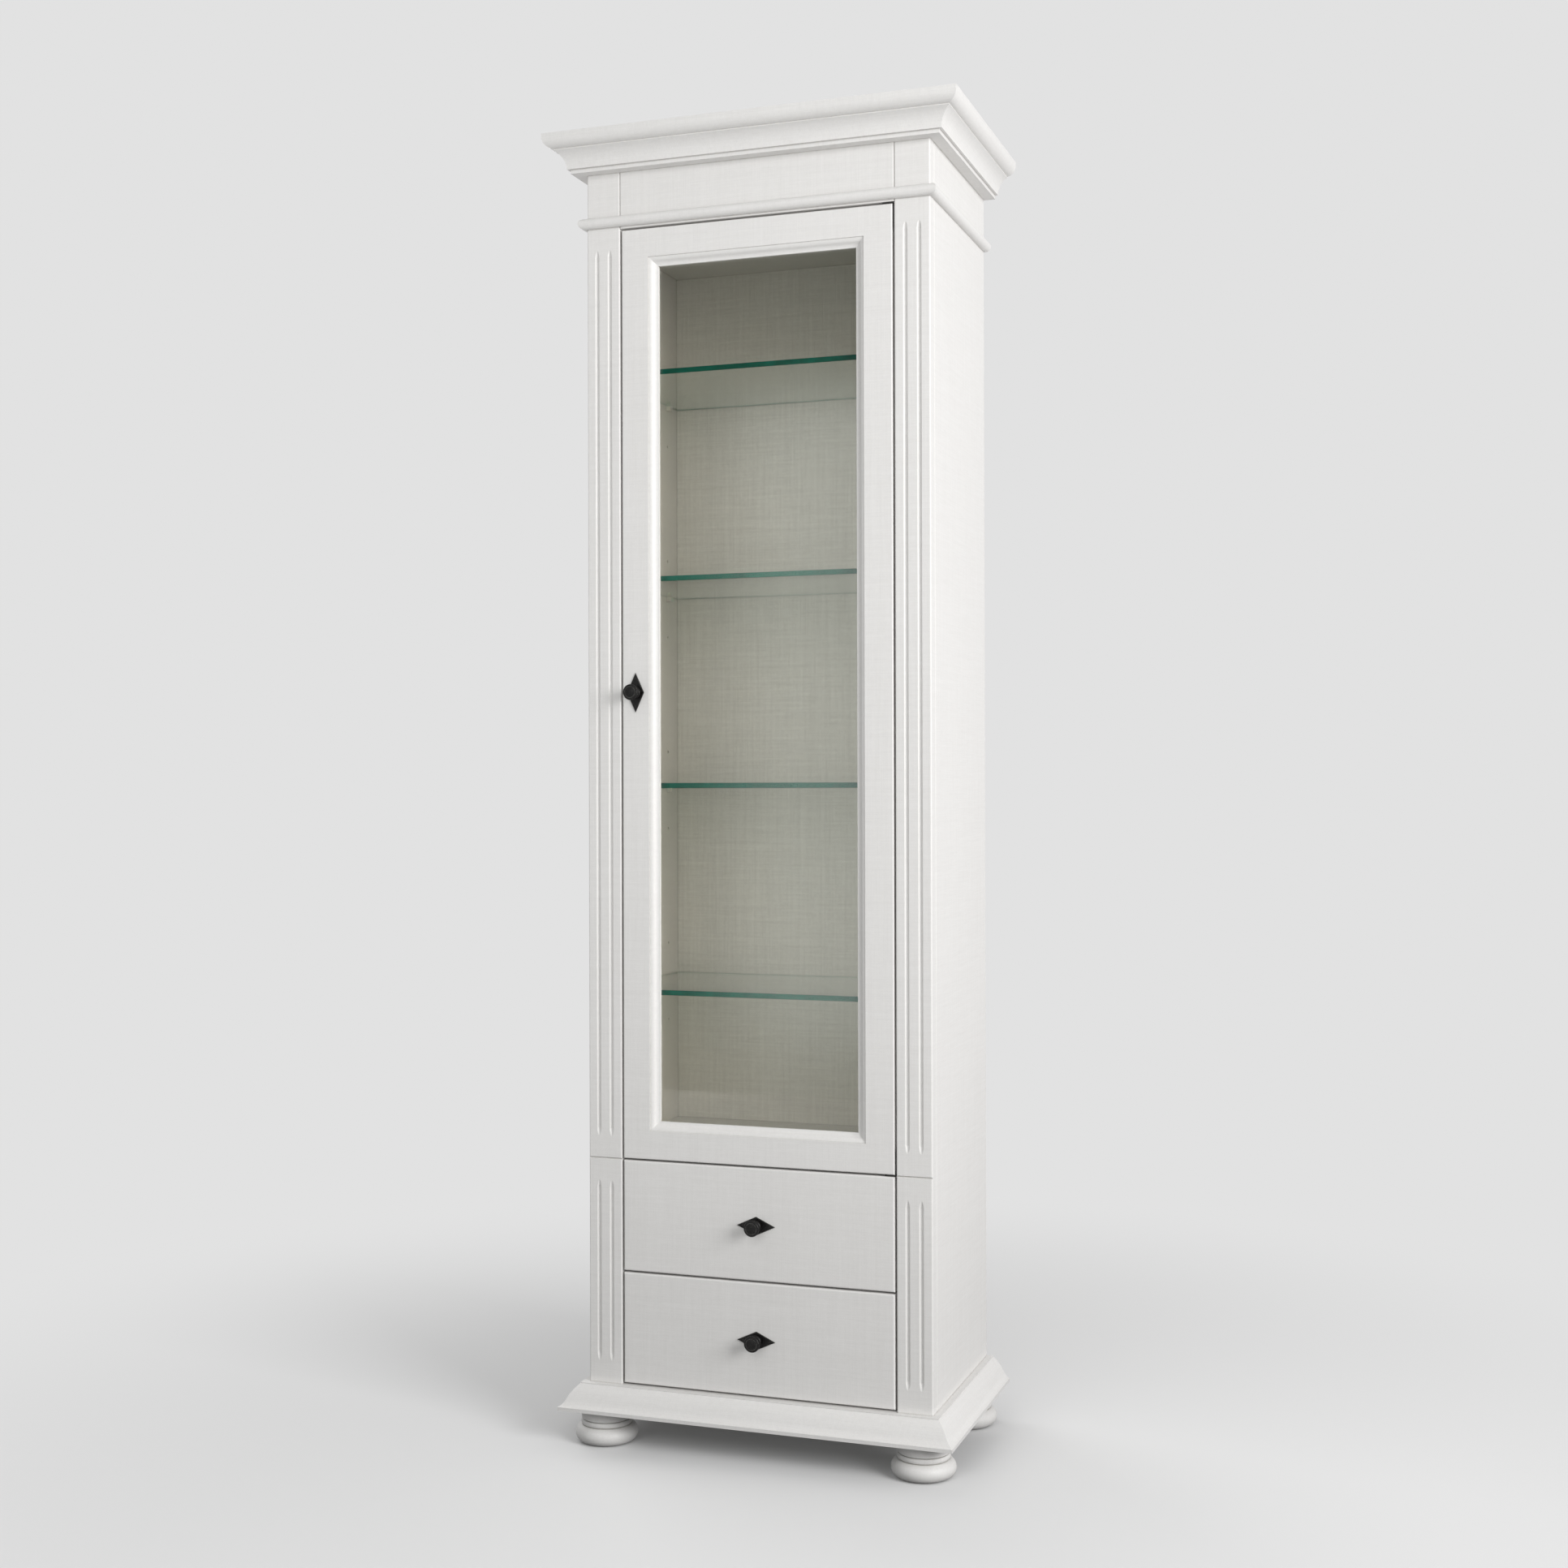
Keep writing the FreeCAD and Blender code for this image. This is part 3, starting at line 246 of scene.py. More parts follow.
def put(tree, kind, sockets=None, **settings):
    """Adds a node. A socket is linked to a given socket, or set to a given value."""
    made = tree.nodes.new(kind)
    for name, value in settings.items():
        setattr(made, name, value)
    for name, value in (sockets or {}).items():
        if isinstance(value, bpy.types.NodeSocket):
            tree.links.new(value, made.inputs[name])
        else:
            made.inputs[name].default_value = value
    return made


def reckoned(tree, operation, *values, clamp=False):
    """The output of a Math node on values or sockets."""
    sockets = dict(enumerate(values))
    return put(tree, "ShaderNodeMath", sockets, operation=operation, use_clamp=clamp).outputs[0]


def weighted(tree, values, shares, clamp=False):
    """The sum of values or sockets, each times its share."""
    total, *others = [reckoned(tree, "MULTIPLY", *pair) for pair in zip(values, shares)]
    for other in others:
        total = reckoned(tree, "ADD", total, other, clamp=clamp)
    return total


def vectors(tree, operation, *values, result="Vector"):
    """The output of a Vector Math node on vectors or sockets."""
    sockets = dict(enumerate(values))
    return put(tree, "ShaderNodeVectorMath", sockets, operation=operation).outputs[result]


def spread(tree, value, low, high, to_low=0.0, to_high=1.0, curve="LINEAR"):
    """Carries a value from one range to another, and holds it there."""
    sockets = {
        "Value": value, "From Min": low, "From Max": high, "To Min": to_low, "To Max": to_high
    }
    return put(tree, "ShaderNodeMapRange", sockets, interpolation_type=curve).outputs["Result"]


def blended(tree, amount, first, second):
    """The colour between two colours or sockets."""
    # a Mix node holds its two colours in sockets 6 and 7, and puts out their mix in 2
    made = put(tree, "ShaderNodeMix", {0: amount, 6: first, 7: second}, data_type="RGBA")
    return made.outputs[2]


def mixed_shader(tree, amount, first, second):
    """The shader between two shaders."""
    return put(tree, "ShaderNodeMixShader", {0: amount, 1: first, 2: second}).outputs[0]


def opaque(colour_property):
    return (*colour_property, 1.0)


def new_group(name, inputs, outputs):
    """An empty shader group with float sockets, or vector ones for None, and its two ends."""
    tree = bpy.data.node_groups.new(name, "ShaderNodeTree")
    for socket, default in inputs.items():
        vector = default is None
        kind = "NodeSocketVector" if vector else "NodeSocketFloat"
        made = tree.interface.new_socket(socket, in_out="INPUT", socket_type=kind)
        if not vector:
            made.default_value = default
    for socket in outputs:
        tree.interface.new_socket(socket, in_out="OUTPUT", socket_type="NodeSocketFloat")
    given = tree.nodes.new("NodeGroupInput").outputs
    return tree, given, tree.nodes.new("NodeGroupOutput").inputs


# Scales of each thread's noise along the three axes, small along the thread itself
THREAD_RUNS = ((0.03, 1, 1), (1, 0.03, 1), (1, 1, 0.02))
# Sums of the three noises that count as a height of 0 and of 1
THREAD_SPAN = (1.15, 1.85)


def thread_group():
    """Crossed brush threads along the three directions, as a height from 0 to 1."""
    inputs = {"Vector": None, "Pitch": 0.001}
    tree, given, result = new_group("crossed_threads", inputs, ["Height"])
    fineness = reckoned(tree, "DIVIDE", 1.0, given["Pitch"])
    fine = vectors(tree, "MULTIPLY", given["Vector"], fineness)
    total = 0.0
    for run in THREAD_RUNS:
        drawn = vectors(tree, "MULTIPLY", fine, run)
        sockets = {"Vector": drawn, "Scale": 1.0, "Detail": 2.0, "Roughness": 0.55}
        thread = put(tree, "ShaderNodeTexNoise", sockets).outputs[0]
        total = reckoned(tree, "ADD", total, thread)
    tree.links.new(spread(tree, total, *THREAD_SPAN), result["Height"])
    return tree


def edge_group():
    """A mask along the edges, for a painted highlight on the paint and for wear on metal."""
    tree, given, result = new_group("worn_and_highlit_edges", {"Reach": 0.001, "Gain": 4.0}, ["Mask"])
    rounded = put(tree, "ShaderNodeBevel", {"Radius": given["Reach"]}, samples=4).outputs["Normal"]
    normal = put(tree, "ShaderNodeNewGeometry").outputs["Normal"]
    along = vectors(tree, "DOT_PRODUCT", rounded, normal, result="Value")
    turned_away = reckoned(tree, "SUBTRACT", 1.0, along)
    mask = reckoned(tree, "MULTIPLY", turned_away, given["Gain"], clamp=True)
    tree.links.new(mask, result["Mask"])
    return tree


# How open a corner is where its painted shade begins and where it is darkest
CORNER_SHADE_OPENNESS = (0.85, 0.35)


def corner_shade_group():
    """A mask of the tight corners, where the paint gets a painted shade."""
    tree, given, result = new_group("painted_corner_shade", {"Reach": 0.003}, ["Mask"])
    sockets = {"Distance": given["Reach"]}
    openness = put(tree, "ShaderNodeAmbientOcclusion", sockets, samples=6).outputs["AO"]
    tree.links.new(spread(tree, openness, *CORNER_SHADE_OPENNESS), result["Mask"])
    return tree


# Shares of a piece's own tone and of its clouds
DRIFT_SHARES = (0.35, 0.65)


def drift_group():
    """Broad changes of tone over a surface, and from one piece to the next, round 0.5."""
    tree, given, result = new_group("tone_drift", {"Vector": None, "Patch": 0.1}, ["Tone"])
    scale = reckoned(tree, "DIVIDE", 1.0, given["Patch"])
    sockets = {"Vector": given["Vector"], "Scale": scale, "Detail": 3.0, "Roughness": 0.6}
    cloud = put(tree, "ShaderNodeTexNoise", sockets).outputs[0]
    piece = put(tree, "ShaderNodeObjectInfo").outputs["Random"]
    tree.links.new(weighted(tree, (piece, cloud), DRIFT_SHARES), result["Tone"])
    return tree


# Shares of the marks and of the grit over them, and how many times finer the grit is
PIT_SHARES = (0.6, 0.4)
GRIT_FINENESS = 3.0


def pitted_group():
    """Small marks of a ground, hammered or moulded surface, as a height from 0 to 1."""
    tree, given, result = new_group("pitted", {"Vector": None, "Pitch": 0.002}, ["Height"])
    scale = reckoned(tree, "DIVIDE", 1.0, given["Pitch"])
    sockets = {"Vector": given["Vector"], "Scale": scale, "Smoothness": 0.8}
    marks = put(tree, "ShaderNodeTexVoronoi", sockets, feature="SMOOTH_F1").outputs["Distance"]
    finer = reckoned(tree, "MULTIPLY", scale, GRIT_FINENESS)
    sockets = {"Vector": given["Vector"], "Scale": finer, "Detail": 3.0}
    grit = put(tree, "ShaderNodeTexNoise", sockets).outputs[0]
    tree.links.new(weighted(tree, (marks, grit), PIT_SHARES), result["Height"])
    return tree


class Surface:
    """A material with one Principled shader, and the shared effects that can be placed in it."""

    def __init__(self, name, **constants):
        self.material = bpy.data.materials.new(name)
        self.material.use_nodes = True
        self.tree = self.material.node_tree
        self.tree.nodes.clear()
        self.output = put(self.tree, "ShaderNodeOutputMaterial")
        self.shader = put(self.tree, "ShaderNodeBsdfPrincipled")
        for socket, value in constants.items():
            self.shader.inputs[socket.replace("_", " ")].default_value = value
        self.tree.links.new(self.shader.outputs[0], self.output.inputs["Surface"])
        self.place = put(self.tree, "ShaderNodeTexCoord").outputs["Object"]

    def effect(self, name, maker, sockets, result):
        """Places a shader group, which is built on its first use."""
        group = bpy.data.node_groups.get(name) or maker()
        return put(self.tree, "ShaderNodeGroup", sockets, node_tree=group).outputs[result]

    def threads(self, pitch):
        sockets = {"Vector": self.place, "Pitch": pitch}
        return self.effect("crossed_threads", thread_group, sockets, "Height")

    def edges(self, reach, gain):
        return self.effect("worn_and_highlit_edges", edge_group, {"Reach": reach, "Gain": gain}, "Mask")

    def corners(self, reach):
        return self.effect("painted_corner_shade", corner_shade_group, {"Reach": reach}, "Mask")

    def drift(self, patch):
        sockets = {"Vector": self.place, "Patch": patch}
        return self.effect("tone_drift", drift_group, sockets, "Tone")

    def pits(self, pitch):
        sockets = {"Vector": self.place, "Pitch": pitch}
        return self.effect("pitted", pitted_group, sockets, "Height")

    def feed(self, socket, value):
        self.tree.links.new(value, self.shader.inputs[socket])

    def tone(self, amount, first, second):
        """Feeds the colour between two colours or sockets to the shader."""
        self.feed("Base Color", blended(self.tree, amount, first, second))

    def gloss(self, value, span, roughness):
        """Takes the roughness from its first value to its second as a value crosses a span."""
        self.feed("Roughness", spread(self.tree, value, *span, *roughness))

    def bump(self, height, depth, strength):
        sockets = {"Height": height, "Distance": depth, "Strength": strength}
        self.feed("Normal", put(self.tree, "ShaderNodeBump", sockets).outputs[0])

    def let_lamps_through(self, tint):
        """Lets the lamps' light pass as through clear glass, so that it reaches what is behind."""
        clear = put(self.tree, "ShaderNodeBsdfTransparent", {"Color": tint}).outputs[0]
        from_lamp = put(self.tree, "ShaderNodeLightPath").outputs["Is Shadow Ray"]
        mixed = mixed_shader(self.tree, from_lamp, self.shader.outputs[0], clear)
        self.tree.links.new(mixed, self.output.inputs["Surface"])


def finish_nodes(solids, material):
    for solid in solids:
        solid.data.materials.clear()
        solid.data.materials.append(material)


# Corners of a solid closer than this are one, and an edge that turns by more than this is eased
SAME_CORNER = 1e-6
EASED_TURN = math.radians(50)


def ease_edges(solid, width):
    """Rounds the edges of a plain solid without changing its own mesh."""
    weld = solid.modifiers.new("joined_corners", "WELD")
    weld.merge_threshold = SAME_CORNER
    bevel = solid.modifiers.new("eased_edges", "BEVEL")
    bevel.width = width
    bevel.segments = 2
    bevel.limit_method = "ANGLE"
    bevel.angle_limit = EASED_TURN
    solid.modifiers.new("even_shading", "WEIGHTED_NORMAL").keep_sharp = False


def aimed(point, direction):
    """The placing that carries +Z to a direction, at a point."""
    return Matrix.Translation(point) @ direction.to_track_quat("Z", "Y").to_matrix().to_4x4()


def join(shape, part, placing):
    """Moves a part to its place and adds it to a shape."""
    bmesh.ops.recalc_face_normals(part, faces=part.faces)
    bmesh.ops.transform(part, matrix=placing, verts=part.verts)
    loose = bpy.data.meshes.new("loose")
    part.to_mesh(loose)
    part.free()
    shape.from_mesh(loose)
    bpy.data.meshes.remove(loose)


# Points of a turned solid that are closer than this are one
SAME_POINT = 1e-7


def turned(shape, profile, placing, steps):
    """Adds a turned solid: profile holds (radius, height) pairs from the axis and back to it."""
    lathe = bmesh.new()
    points = [lathe.verts.new((radius, 0, height)) for radius, height in profile]
    lines = [lathe.edges.new(pair) for pair in zip(points, points[1:])]
    bmesh.ops.spin(
        lathe,
        geom=points + lines,
        cent=(0, 0, 0),
        axis=(0, 0, 1),
        angle=math.tau,
        steps=steps,
        use_merge=True,
    )
    bmesh.ops.remove_doubles(lathe, verts=lathe.verts, dist=SAME_POINT)
    join(shape, lathe, placing)


# Radius and height of a domed head's outline, for a head of radius 1
DOME = (
    (0.0, 0.50), (0.38, 0.47), (0.72, 0.36), (0.93, 0.18), (1.0, 0.0), (0.97, -0.25), (0.0, -0.25)
)


def domed_head(shape, radius, placing, steps):
    """A small domed head on a short shank."""
    turned(shape, [(radius * across, radius * up) for across, up in DOME], placing, steps)


def screw_head(shape, radius, placing, steps):
    """A low countersunk head with a cross recess."""
    crown, rim_height, shank = radius * 0.12, radius * 0.036, radius * 0.2
    face_radius, arm, reach = radius * 0.86, radius * 0.13, radius * 0.58
    depth, narrowing = radius * 0.30, 0.7
    part = bmesh.new()

    def loop(points, height):
        return [part.verts.new((x, y, height)) for x, y in points]

    def walls(upper, lower):
        for index in range(len(upper)):
            after = (index + 1) % len(upper)
            part.faces.new((upper[index], upper[after], lower[after], lower[index]))

    def circle(size):
        turns = [math.tau * step / steps for step in range(steps)]
        return [(size * math.cos(turn), size * math.sin(turn)) for turn in turns]

    quarter = [(arm, arm), (arm, reach), (-arm, reach)]
    cross = []
    for _ in range(4):
        cross += quarter
        quarter = [(-y, x) for x, y in quarter]
    face = loop(circle(face_radius), crown)
    rim = loop(circle(radius), rim_height)
    foot = loop(circle(radius), -shank)
    lip = loop(cross, crown)
    pit = loop([(x * narrowing, y * narrowing) for x, y in cross], crown - depth)
    edges = []
    for ring in (face, lip):
        edges += [part.edges.new((ring[index - 1], ring[index])) for index in range(len(ring))]
    bmesh.ops.triangle_fill(part, edges=edges, use_beauty=True)
    walls(face, rim)
    walls(rim, foot)
    walls(lip, pit)
    part.faces.new(pit)
    part.faces.new(foot)
    join(shape, part, placing)


def plate(shape, low, high, ease):
    """A flat plate with softened edges between two corners."""
    part = bmesh.new()
    bmesh.ops.create_cube(part, size=1.0)
    bmesh.ops.scale(part, vec=high - low, verts=part.verts)
    bmesh.ops.bevel(
        part, geom=part.edges[:], offset=ease, segments=2, affect="EDGES", profile=0.5
    )
    join(shape, part, Matrix.Translation((low + high) / 2))


# An edge of a piece that turns by more than this looks sharp
SHARP_TURN = math.radians(35)


def add_piece(name, shape, material, body):
    """Makes a shape a piece of the cabinet that moves with a body."""
    mesh = bpy.data.meshes.new(name)
    shape.to_mesh(mesh)
    shape.free()
    mesh.materials.append(material)
    mesh.shade_smooth()
    mesh.set_sharp_from_angle(angle=SHARP_TURN)
    piece = bpy.data.objects.new(name, mesh)
    bpy.context.scene.collection.objects.link(piece)
    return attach(piece, body)


class CABINET_OT_paint(bpy.types.Operator):
    """Paint the woodwork in brushed satin white"""

    bl_idname = "cabinet.paint"
    bl_label = "Paint the woodwork"

    # Shares of the threads, the streaks, the drift and the edges in the paint's tone; the edges'
    # share is a painted highlight
    SHARES = (0.45, 0.3, 0.35, 0.3)
    # How much of the painted shade in corners lies between the streaks and on them
    CORNER_SHADE_SHARES = (0.85, 0.55)
    # The paint is duller between the threads, smoother on them, and polished along its edges
    DULLER = 0.08
    SMOOTHER = 0.04
    POLISHED = 0.14

    def execute(self, context):
        finish, trim = context.scene.cabinet_finish, context.scene.cabinet_trim
        white = self.coat(finish, "satin_white_paint", finish.paint, finish.paint_shade)
        grained = self.coat(finish, "white_grained_board", finish.board, finish.board_shade)
        finish_nodes(in_slot("white_paint"), white)
        finish_nodes([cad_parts["back_panel"]], grained)
        for name in PLAIN_BOARDS:
            ease_edges(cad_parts[name], trim.eased_edge)
        return {"FINISHED"}

    def coat(self, finish, name, white, shade):
        coat = Surface(name, Specular_IOR_Level=0.42)
        tree = coat.tree
        threads = coat.threads(finish.weave_pitch)
        streaks = coat.threads(finish.streak_pitch)
        # The edges lighten the paint's tone as a painted highlight, and make the paint smoother
        # there
        edges = coat.edges(finish.edge_highlight_reach, gain=3.0)
        drift = coat.drift(finish.paint_cloud)
        light = weighted(tree, (threads, streaks, drift, edges), self.SHARES, clamp=True)
        brushed = blended(tree, light, opaque(shade), opaque(white))
        # Painted shade: the paint darkens in tight corners and joints, less on the streaks
        corners = coat.corners(finish.corner_shade_reach)
        painted_shade = reckoned(tree, "MULTIPLY", corners, spread(tree, streaks, 0, 1, *self.CORNER_SHADE_SHARES))
        coat.tone(painted_shade, brushed, opaque(finish.corner))
        dull, smooth = finish.paint_roughness + self.DULLER, finish.paint_roughness - self.SMOOTHER
        satin = spread(tree, threads, 0, 1, dull, smooth)
        polish = reckoned(tree, "MULTIPLY", edges, self.POLISHED)
        coat.feed("Roughness", reckoned(tree, "SUBTRACT", satin, polish))
        coat.bump(threads, finish.weave_depth, strength=0.5)
        return coat.material


class CABINET_OT_drawer_wood(bpy.types.Operator):
    """Give the drawer boxes and runners a pale lacquered wood, its grain along each board"""

    bl_idname = "cabinet.drawer_wood"
    bl_label = "Finish the drawer boxes"

    # The rings run fine across a board and long along it, for boards that lie either way
    ALONG = {"side": (1, 0.035, 1), "length": (0.035, 1, 1)}
    # Scale of a wave for one ring to a metre, and scale of the fibres
    RING_SCALE = 0.3
    FIBRE_SCALE = 900.0
    # Shares of the rings and the fibres, and then of the drift, in the wood's tone
    SHARES = (0.5, 0.35)
    DRIFT_SHARE = 0.25

    def execute(self, context):
        finish, trim = context.scene.cabinet_finish, context.scene.cabinet_trim
        woods = {name: self.wood(finish, name, run) for name, run in self.ALONG.items()}
        for solid in in_slot("drawer_wood"):
            lies_along = "side" if "side" in solid.name or "runners" in solid.name else "length"
            finish_nodes([solid], woods[lies_along])
            ease_edges(solid, trim.eased_edge)
        return {"FINISHED"}

    def wood(self, finish, name, run):
        board = Surface(f"pale_wood_along_{name}", Specular_IOR_Level=0.4)
        tree = board.tree
        piece = put(tree, "ShaderNodeObjectInfo").outputs["Random"]
        shifted = vectors(tree, "ADD", board.place, piece)
        drawn = vectors(tree, "MULTIPLY", shifted, run)
        rings = put(
            tree,
            "ShaderNodeTexWave",
            {
                "Vector": drawn,
                "Scale": self.RING_SCALE / finish.ring_pitch,
                "Distortion": 5.0,
                "Detail": 3.0,
                "Detail Scale": 1.6,
                "Detail Roughness": 0.6,
            },
            bands_direction="DIAGONAL",
            wave_profile="SAW",
        ).outputs[0]
        sockets = {"Vector": drawn, "Scale": self.FIBRE_SCALE, "Detail": 3.0}
        fibre = put(tree, "ShaderNodeTexNoise", sockets).outputs[0]
        drift = board.drift(finish.wood_cloud)
        grain = weighted(tree, (rings, fibre), self.SHARES)
        drifting = reckoned(tree, "MULTIPLY", drift, self.DRIFT_SHARE)
        dark = reckoned(tree, "ADD", grain, drifting, clamp=True)
        board.tone(dark, opaque(finish.wood), opaque(finish.wood_ring))
        board.gloss(fibre, span=(0.3, 0.7), roughness=(0.42, 0.58))
        board.bump(grain, finish.ring_depth, strength=0.4)
        return board.material


class CABINET_OT_pane(bpy.types.Operator):
    """Glaze the door with a clear, faintly smeared pane"""

    bl_idname = "cabinet.pane"
    bl_label = "Glaze the door"

    def execute(self, context):
        finish = context.scene.cabinet_finish
        pane = Surface(
            "door_pane_glass",
            Transmission_Weight=1.0,
            IOR=finish.glass_index,
            Specular_IOR_Level=finish.pane_mirror,
        )
        smear = pane.drift(finish.pane_smear)
        pane.gloss(smear, span=(0.45, 0.75), roughness=(0.0, 0.035))
        pane.tone(smear, opaque(finish.pane_tint), opaque(finish.pane_clear))
        pane.let_lamps_through(opaque(finish.pane_shade))
        finish_nodes(in_slot("door_glass"), pane.material)
        return {"FINISHED"}


class CABINET_OT_shelves(bpy.types.Operator):
    """Make the shelves of plate glass with ground edges, deep green in front"""

    bl_idname = "cabinet.shelves"
    bl_label = "Finish the glass shelves"

    # Places of the front edge's and the other edges' finish among a shelf's materials
    FRONT_EDGE = 1
    OTHER_EDGES = 2
    # A face is turned to a direction where its normal goes that way by more than this
    FACING = 0.5
    # Range of the drift over which an edge goes from its dark to its light green
    EDGE_DRIFT = (0.35, 0.65)

    def execute(self, context):
        finish, trim = context.scene.cabinet_finish, context.scene.cabinet_trim
        flat = Surface("shelf_plate_glass", Transmission_Weight=1.0, IOR=finish.glass_index)
        smear = flat.drift(finish.shelf_smear)
        flat.gloss(smear, span=(0.45, 0.8), roughness=(0.0, 0.03))
        flat.tone(smear, opaque(finish.shelf_tint), opaque(finish.shelf_clear))
        flat.let_lamps_through(opaque(finish.shelf_tint))
        deep = self.ground_edge(
            finish, "ground_glass_edge", finish.shelf_edge_dark, finish.shelf_edge
        )
        pale = self.ground_edge(
            finish, "pale_ground_glass_edge", finish.shelf_rear, finish.shelf_rear_light
        )
        for solid in in_slot("shelf_glass"):
            finish_nodes([solid], flat.material)
            solid.data.materials.append(deep)
            solid.data.materials.append(pale)
            for face in solid.data.polygons:
                if abs(face.normal.z) < self.FACING:
                    in_front = face.normal.dot(FRONTWARD) > self.FACING
                    face.material_index = self.FRONT_EDGE if in_front else self.OTHER_EDGES
            ease_edges(solid, trim.glass_edge)
        return {"FINISHED"}

    def ground_edge(self, finish, name, dark, light):
        edge = Surface(name, Specular_IOR_Level=0.1)
        drift = edge.drift(finish.edge_cloud)
        ground = edge.pits(finish.ground_pitch)
        edge.tone(spread(edge.tree, drift, *self.EDGE_DRIFT), opaque(dark), opaque(light))
        edge.gloss(ground, span=(0.2, 0.7), roughness=(0.25, 0.45))
        edge.bump(ground, finish.ground_depth, strength=0.25)
        return edge.material


class CABINET_OT_knobs(bpy.types.Operator):
    """Blacken the iron knobs and their plates, and nail the plates on"""

    bl_idname = "cabinet.knobs"
    bl_label = "Blacken the knobs and plates"

    # The mottle's size as a share of the hammer marks', and the shares of both in the height
    MOTTLE_SIZE = 0.4
    HEIGHT_SHARES = (1.0, 0.4)
    # Range of the mottle over which the iron turns grey, and of the marks over which it is rubbed
    GREYING = (0.3, 0.6)
    RUBBING = (0.2, 0.5)

    def execute(self, context):
        finish, trim = context.scene.cabinet_finish, context.scene.cabinet_trim
        iron = self.iron(finish)
        finish_nodes(in_slot("black_iron"), iron)
        for body in ("door", *DRAWERS):
            self.nail_plate(f"{body}_knob_plate", body, trim, iron)
        return {"FINISHED"}

    def iron(self, finish):
        iron = Surface("blackened_iron", Metallic=0.85)
        tree = iron.tree
        marks = iron.pits(finish.hammer_pitch)
        mottle = iron.pits(finish.hammer_pitch * self.MOTTLE_SIZE)
        edges = iron.edges(finish.iron_edge, gain=3.0)
        greyed = spread(tree, mottle, *self.GREYING)
        cloudy = blended(tree, greyed, opaque(finish.iron), opaque(finish.iron_grey))
        rubbed = reckoned(tree, "MULTIPLY", edges, spread(tree, marks, *self.RUBBING))
        iron.tone(rubbed, cloudy, opaque(finish.iron_rub))
        iron.gloss(mottle, span=(0.25, 0.65), roughness=(0.26, 0.52))
        height = weighted(tree, (marks, mottle), self.HEIGHT_SHARES)
        iron.bump(height, finish.hammer_depth, strength=0.6)
        return iron.material

    def nail_plate(self, name, body, trim, material):
        """Two nails, near the tips of a plate's longer way."""
        low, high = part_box(name)
        middle, half = (low + high) / 2, (high - low) / 2
        upright = half.z > half.x
        out = (half.z if upright else half.x) - trim.nail_inset
        shape = bmesh.new()
        for side in (-1, 1):
            point = Vector((middle.x, low.y, middle.z))
            point += Vector((0, 0, side * out)) if upright else Vector((side * out, 0, 0))
            domed_head(shape, trim.nail_radius, aimed(point, FRONTWARD), trim.turning_steps)
        add_piece(f"{name}_nails", shape, material, body)


# How many times brighter the steel is along a rubbed edge
STEEL_SHINE = 1.25


def drawn_steel(finish, name, tone):
    """Steel with fine drawn lines, plated or burnished, that small metal fittings share."""
    made = bpy.data.materials.get(name)
    if made:
        return made
    steel = Surface(name, Metallic=1.0)
    lines = steel.threads(finish.drawn_pitch)
    edges = steel.edges(finish.steel_edge, gain=2.0)
    bright = tuple(min(1.0, STEEL_SHINE * part) for part in tone)
    steel.tone(edges, opaque(tone), opaque(bright))
    steel.gloss(lines, span=(0, 1), roughness=(0.24, 0.40))
    steel.bump(lines, finish.drawn_depth, strength=0.25)
    return steel.material


# How much of its tone the plastic keeps in its grain
PLASTIC_GRAIN = 0.94


def milky_plastic(finish):
    """The plastic that the pegs and the catch share."""
    made = bpy.data.materials.get("milky_plastic")
    if made:
        return made
    plastic = Surface("milky_plastic", Subsurface_Weight=0.35, Subsurface_Scale=0.002)
    pits = plastic.pits(finish.plastic_pitch)
    duller = tuple(PLASTIC_GRAIN * part for part in finish.plastic)
    plastic.tone(pits, opaque(finish.plastic), opaque(duller))
    plastic.gloss(pits, span=(0.2, 0.7), roughness=(0.28, 0.44))
    plastic.bump(pits, finish.plastic_depth, strength=0.3)
    return plastic.material


class CABINET_OT_hinges(bpy.types.Operator):
    """Burnish the pivot hinges, and screw their brackets to the right stile"""

    bl_idname = "cabinet.hinges"
    bl_label = "Finish the pivot hinges"

    def execute(self, context):
        finish, trim = context.scene.cabinet_finish, context.scene.cabinet_trim
        steel = drawn_steel(finish, "burnished_steel", finish.hinge)
        finish_nodes(in_slot("hinge_steel"), steel)
        low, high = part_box("pivot_brackets")
        sockets_low, sockets_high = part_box("pivot_sockets")
        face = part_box("stile_right")[0].x
        shape = bmesh.new()
        for rise in (trim.low_screw, trim.high_screw):
            for z in (low.z + rise, high.z - rise):
                point = Vector((face, (sockets_low.y + sockets_high.y) / 2, z))
                screw_head(shape, trim.screw_radius, aimed(point, LEFTWARD), trim.turning_steps)
        add_piece("hinge_screws", shape, steel, "carcass")
        return {"FINISHED"}


class CABINET_OT_pegs(bpy.types.Operator):
    """Mould the shelf pegs in milky plastic"""

    bl_idname = "cabinet.pegs"
    bl_label = "Finish the shelf pegs"

    def execute(self, context):
        plastic = milky_plastic(context.scene.cabinet_finish)
        finish_nodes([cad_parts["shelf_pegs"]], plastic)
        return {"FINISHED"}


